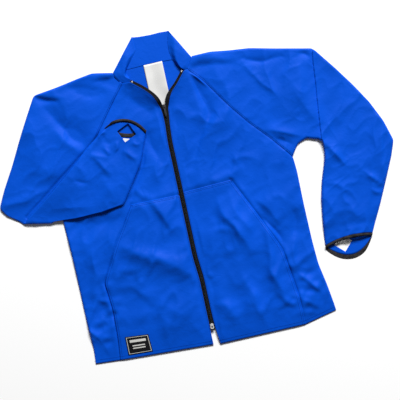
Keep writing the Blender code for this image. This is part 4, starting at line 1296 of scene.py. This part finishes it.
zipEnds = {
    "box": [(4.2, -326.4), (4.2, -317.6), (3.2, -317.2)],    # right half of its outline
    "boxHeight": 2.5,
    "stop": (1.5, 1.9),       # half width and half length
    "stopIn": 6.6,            # from the open edge
    "stopHeight": 2.3,
}
chainLow = sliderLook["chainLow"]
roundedPlate("zipBox", mirrored(zipEnds["box"]), chainLow, chainLow + zipEnds["boxHeight"], blackTape, 0.5)
for side, away in sideways.items():
    end = openEdge(side, 14)[-1]
    x, y = end[0] - away * zipEnds["stopIn"], end[1] - 0.2
    wide, long = zipEnds["stop"]
    stop = [(x - wide, y - long), (x + wide, y - long), (x + wide, y + long), (x - wide, y + long)]
    low = layout["frontHeight"] + 0.1
    high = low + zipEnds["stopHeight"] + float(neckRise(np.array([x]), np.array([y]))[0])
    roundedPlate(named("zipStop", side), stop, low, high, nickel, 0.5)
print("sliders and tabs")

# labels: corners, from below left round to above left
labelCut = {
    "neck": {
        "corners": ((-29, 252), (19, 252), (19, 362), (-29, 362)),
        "height": 2.9, "waves": 0.35, "curl": 5.0,
    },
    "hem": {"corners": ((-221, -344), (-159, -347), (-161, -302), (-220, -297))},
    "cuff": {"corners": ((-122, 181), (-97, 173), (-93, 185), (-118, 193))},
}
# raised bars on the hem label, in shares of its width and length: the border, then the plain bars
barCut = {
    "bars": (
        (0.04, 0.05, 0.96, 0.07), (0.04, 0.93, 0.96, 0.95),
        (0.04, 0.07, 0.06, 0.93), (0.94, 0.07, 0.96, 0.93),
        (0.16, 0.66, 0.84, 0.80), (0.24, 0.44, 0.76, 0.50), (0.24, 0.30, 0.76, 0.36),
    ),
    "lift": 0.22,
    "wall": 0.22,
}


def onLabel(corners, across, along):  # the place at a share of a label's width and length
    a, b, c, d = (np.array(corner, dtype=float) for corner in corners)
    return (a + (b - a) * across) * (1 - along) + (d + (c - d) * across) * along


def labelGrid(corners, height=0.0, waves=0.0, curl=0.0, count=24):
    share = np.linspace(0.0, 1.0, count)
    across, along = np.meshgrid(share, share)
    flat = onLabel(corners, across[..., None], along[..., None])
    z = height + waves * softNoise(flat[..., 0], flat[..., 1], 26, 61, 1.4, 20)
    z = z + curl * rise((across - 0.3) / 0.7) * rise((along - 0.1) / 0.35)
    return np.concatenate((flat, z[..., None]), axis=2)


def surfaceTrees(names):
    graph = bpy.context.evaluated_depsgraph_get()
    return [BVHTree.FromObject(bpy.data.objects[name], graph) for name in names]


def laidOn(trees, path, above):  # places on top of the cloth below them
    points = []
    for x, y in path:
        hits = [tree.ray_cast(Vector((x * mm, y * mm, 0.06)), Vector((0, 0, -1)))[0] for tree in trees]
        heights = [hit.z / mm for hit in hits if hit is not None]
        if heights:
            points.append((x, y, max(heights) + above))
    return points


def settle(grid, names, above):  # a label's height from the cloth it is sewn to
    laid = laidOn(surfaceTrees(names), grid[..., :2].reshape(-1, 2), above)
    grid[..., 2] = np.array(laid)[:, 2].reshape(grid.shape[:2])
    z = grid[..., 2]
    for _ in range(3):
        z[1:-1, 1:-1] = (z[:-2, 1:-1] + z[2:, 1:-1] + z[1:-1, :-2] + z[1:-1, 2:]) / 4
    return grid


addCloth("neckLabel", labelGrid(**labelCut["neck"]), satin, 0.4)
hemGrid = settle(labelGrid(**labelCut["hem"]), ["frontRight", "pocketRight"], 0.55)
cuffGrid = settle(labelGrid(**labelCut["cuff"]), ["sleeveRightFront"], 0.45)
addCloth("hemLabel", hemGrid, blackWoven, 0.6)
addCloth("cuffLabel", cuffGrid, satin, 0.4)


def labelBars(name, corners, finish):
    label = surfaceTrees(["hemLabel"])
    shape = bmesh.new()
    for left, low, right, high in barCut["bars"]:
        places = [onLabel(corners, u, v) for u, v in ((left, low), (right, low), (right, high), (left, high))]
        laid = laidOn(label, places, barCut["lift"])
        shape.faces.new([shape.verts.new(Vector(place) * mm) for place in laid])
    bmesh.ops.recalc_face_normals(shape, faces=shape.faces)
    mesh = meshFrom(name, shape)
    mesh.uv_layers.new(name="cut")
    makeObject(name, mesh, finish).modifiers.new("wall", "SOLIDIFY").thickness = barCut["wall"] * mm


labelBars("hemLabelBars", labelCut["hem"]["corners"], paleThread)
print("labels")

# stitches, laid on the cloth below them: how far each row runs from its edge or seam
stitchCut = {
    "step": 3.1, "length": 2.3, "radius": 0.3, "above": 0.12,
    "pocket": (2.0, 6.5),
    "zip": 2.2,
    "hem": 9.0,
    "sleeve": (1.0, 4.4),     # on the sleeve, beside the raglan seam
    "raglan": 0.8,            # on the front
    "sleeveAbove": 0.1,
}


def besideLine(line, away, spacing=5.0):  # a path beside a line, away to its left
    line = np.asarray(line, dtype=float)
    length = np.linalg.norm(np.diff(line, axis=0), axis=1).sum()
    path = resampled(line, np.linspace(0.0, 1.0, max(3, round(length / spacing))))
    return path + unitNormals(path) * away


def stitchPaths():
    paths = []
    for side, turn in sideways.items():
        rows = frontRows[side]
        pocket = rows[frontIndex[side] <= frontCut["pocketTop"]]
        cloth = surfaceTrees([named("front", side), named("pocket", side)])
        sleeve = surfaceTrees([named("sleeve", side, "front")])
        lines = []
        for away in stitchCut["pocket"]:
            lines.append((pocket[:, 2:4], turn * away))
            lines.append(([pocket[-1][0:2] + (turn * 3, 0), pocket[-1][2:4]], -turn * away))
        lines.append(([(row[0], row[1]) for row in rows if row[1] < 240], -turn * stitchCut["zip"]))
        lines.append((openEdge(side, 40)[4:-1], -turn * stitchCut["zip"]))
        lines.append(([rows[0][0:2], rows[0][2:4], rows[0][4:6]], turn * stitchCut["hem"]))
        paths += [laidOn(cloth, besideLine(line, away), stitchCut["above"]) for line, away in lines]
        raglan = raglanLine(side)[2:-2]
        for away in stitchCut["sleeve"]:
            paths.append(laidOn(sleeve, besideLine(raglan, turn * away), stitchCut["sleeveAbove"]))
        paths.append(laidOn(cloth, besideLine(raglan, -turn * stitchCut["raglan"]), stitchCut["sleeveAbove"]))
    return [path for path in paths if len(path) > 2]


# the stitches' dark thread paints part of the seams' shade
stitchSizes = {
    "Across": stitchCut["radius"] * mm, "Along": stitchCut["length"] * mm, "Height": 0.0,
    "Step": stitchCut["step"] * mm, "Sideways": 0.0, "Seed": 7,
}
repeated("stitching", stitchPaths(), stitchTree, stitchSizes, blueThread)
print("stitches")

# camera, floor and light, in metres
view = {"centre": (0.038, 0.0), "turn": 12.3, "height": 2.6, "width": 1.0096}
studio = {
    "floor": {"color": (0.95, 0.95, 0.95), "roughness": 0.9},
    "floorSize": 30.0,
    "floorHeight": -0.0002,
    "light": (2.6, 5.75, 4.94),
    "lightAim": (0.03, 0.0, 0.0),
    "lightSize": (4.2, 1.8),
    "lightPower": 1130,
    "surround": 0.10,
}
bpy.ops.mesh.primitive_plane_add(size=studio["floorSize"], location=(*view["centre"], studio["floorHeight"]))
floor = bpy.context.object
floor.name = "floor"
floor.data.materials.append(basicMaterial("floorMaterial", studio["floor"])[0])

cameraData = bpy.data.cameras.new("camera")
cameraData.sensor_width = 36.0
cameraData.lens = cameraData.sensor_width * view["height"] / view["width"]
camera = makeObject("camera", cameraData)
camera.location = (*view["centre"], view["height"])
camera.rotation_euler = (0.0, 0.0, math.radians(-view["turn"]))
bpy.context.scene.camera = camera

lightData = bpy.data.lights.new("keyLight", "AREA")
lightData.energy = studio["lightPower"]
lightData.shape = "RECTANGLE"
lightData.size, lightData.size_y = studio["lightSize"]
light = makeObject("keyLight", lightData)
light.location = studio["light"]
lightWay = Vector(studio["lightAim"]) - Vector(studio["light"])
light.rotation_euler = lightWay.to_track_quat("-Z", "Y").to_euler()
world = bpy.data.worlds.new("studio")
world.use_nodes = True
world.node_tree.nodes["Background"].inputs["Color"].default_value = (1.0, 1.0, 1.0, 1.0)
world.node_tree.nodes["Background"].inputs["Strength"].default_value = studio["surround"]
bpy.context.scene.world = world
bpy.context.scene.view_settings.view_transform = "Standard"
print("camera, floor and light")

# each piece's finish, what carries it and the solid that it stands for
pieceFinish = {
    "blue_nylon": (
        "frontLeft", "frontRight", "pocketLeft", "pocketRight", "backPanel", "sleeveLeftFront",
        "sleeveLeftBack", "sleeveRightFront", "sleeveRightBack", "standCollar", "stitching",
    ),
    "black_elastic": (
        "cuffBindingLeftFront", "cuffBindingLeftBack", "cuffBindingRightFront", "cuffBindingRightBack",
    ),
    "black_tape": ("zipTapeLeft", "zipTapeRight", "zipBox"),
    "zip_teeth": ("zipTeethLeft", "zipTeethRight", "zipChain"),
    "nickel": ("zipStopLeft", "zipStopRight", "pullLower"),
    "dark_metal": ("sliderUpper", "sliderLower", "pullUpper"),
    "white_satin": ("neckLabel", "hemLabelBars", "cuffLabel"),
    "black_woven": ("hemLabel",),
}
bodyOf = {"pullUpper": "upper_pull", "pullLower": "lower_pull"}
# the others have their solid's name, with capitals where it has underscores
nodeOf = {"standCollar": "collar", "stitching": None, "hemLabelBars": None}
for finish, names in pieceFinish.items():
    for name in names:
        piece = bpy.data.objects[name]
        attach(piece, bodyOf.get(name, "jacket"))
        spelled = "".join("_" + letter.lower() if letter.isupper() else letter for letter in name)
        solid = nodeOf.get(name, spelled)
        if solid:
            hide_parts(solid)

print("pieces attached")
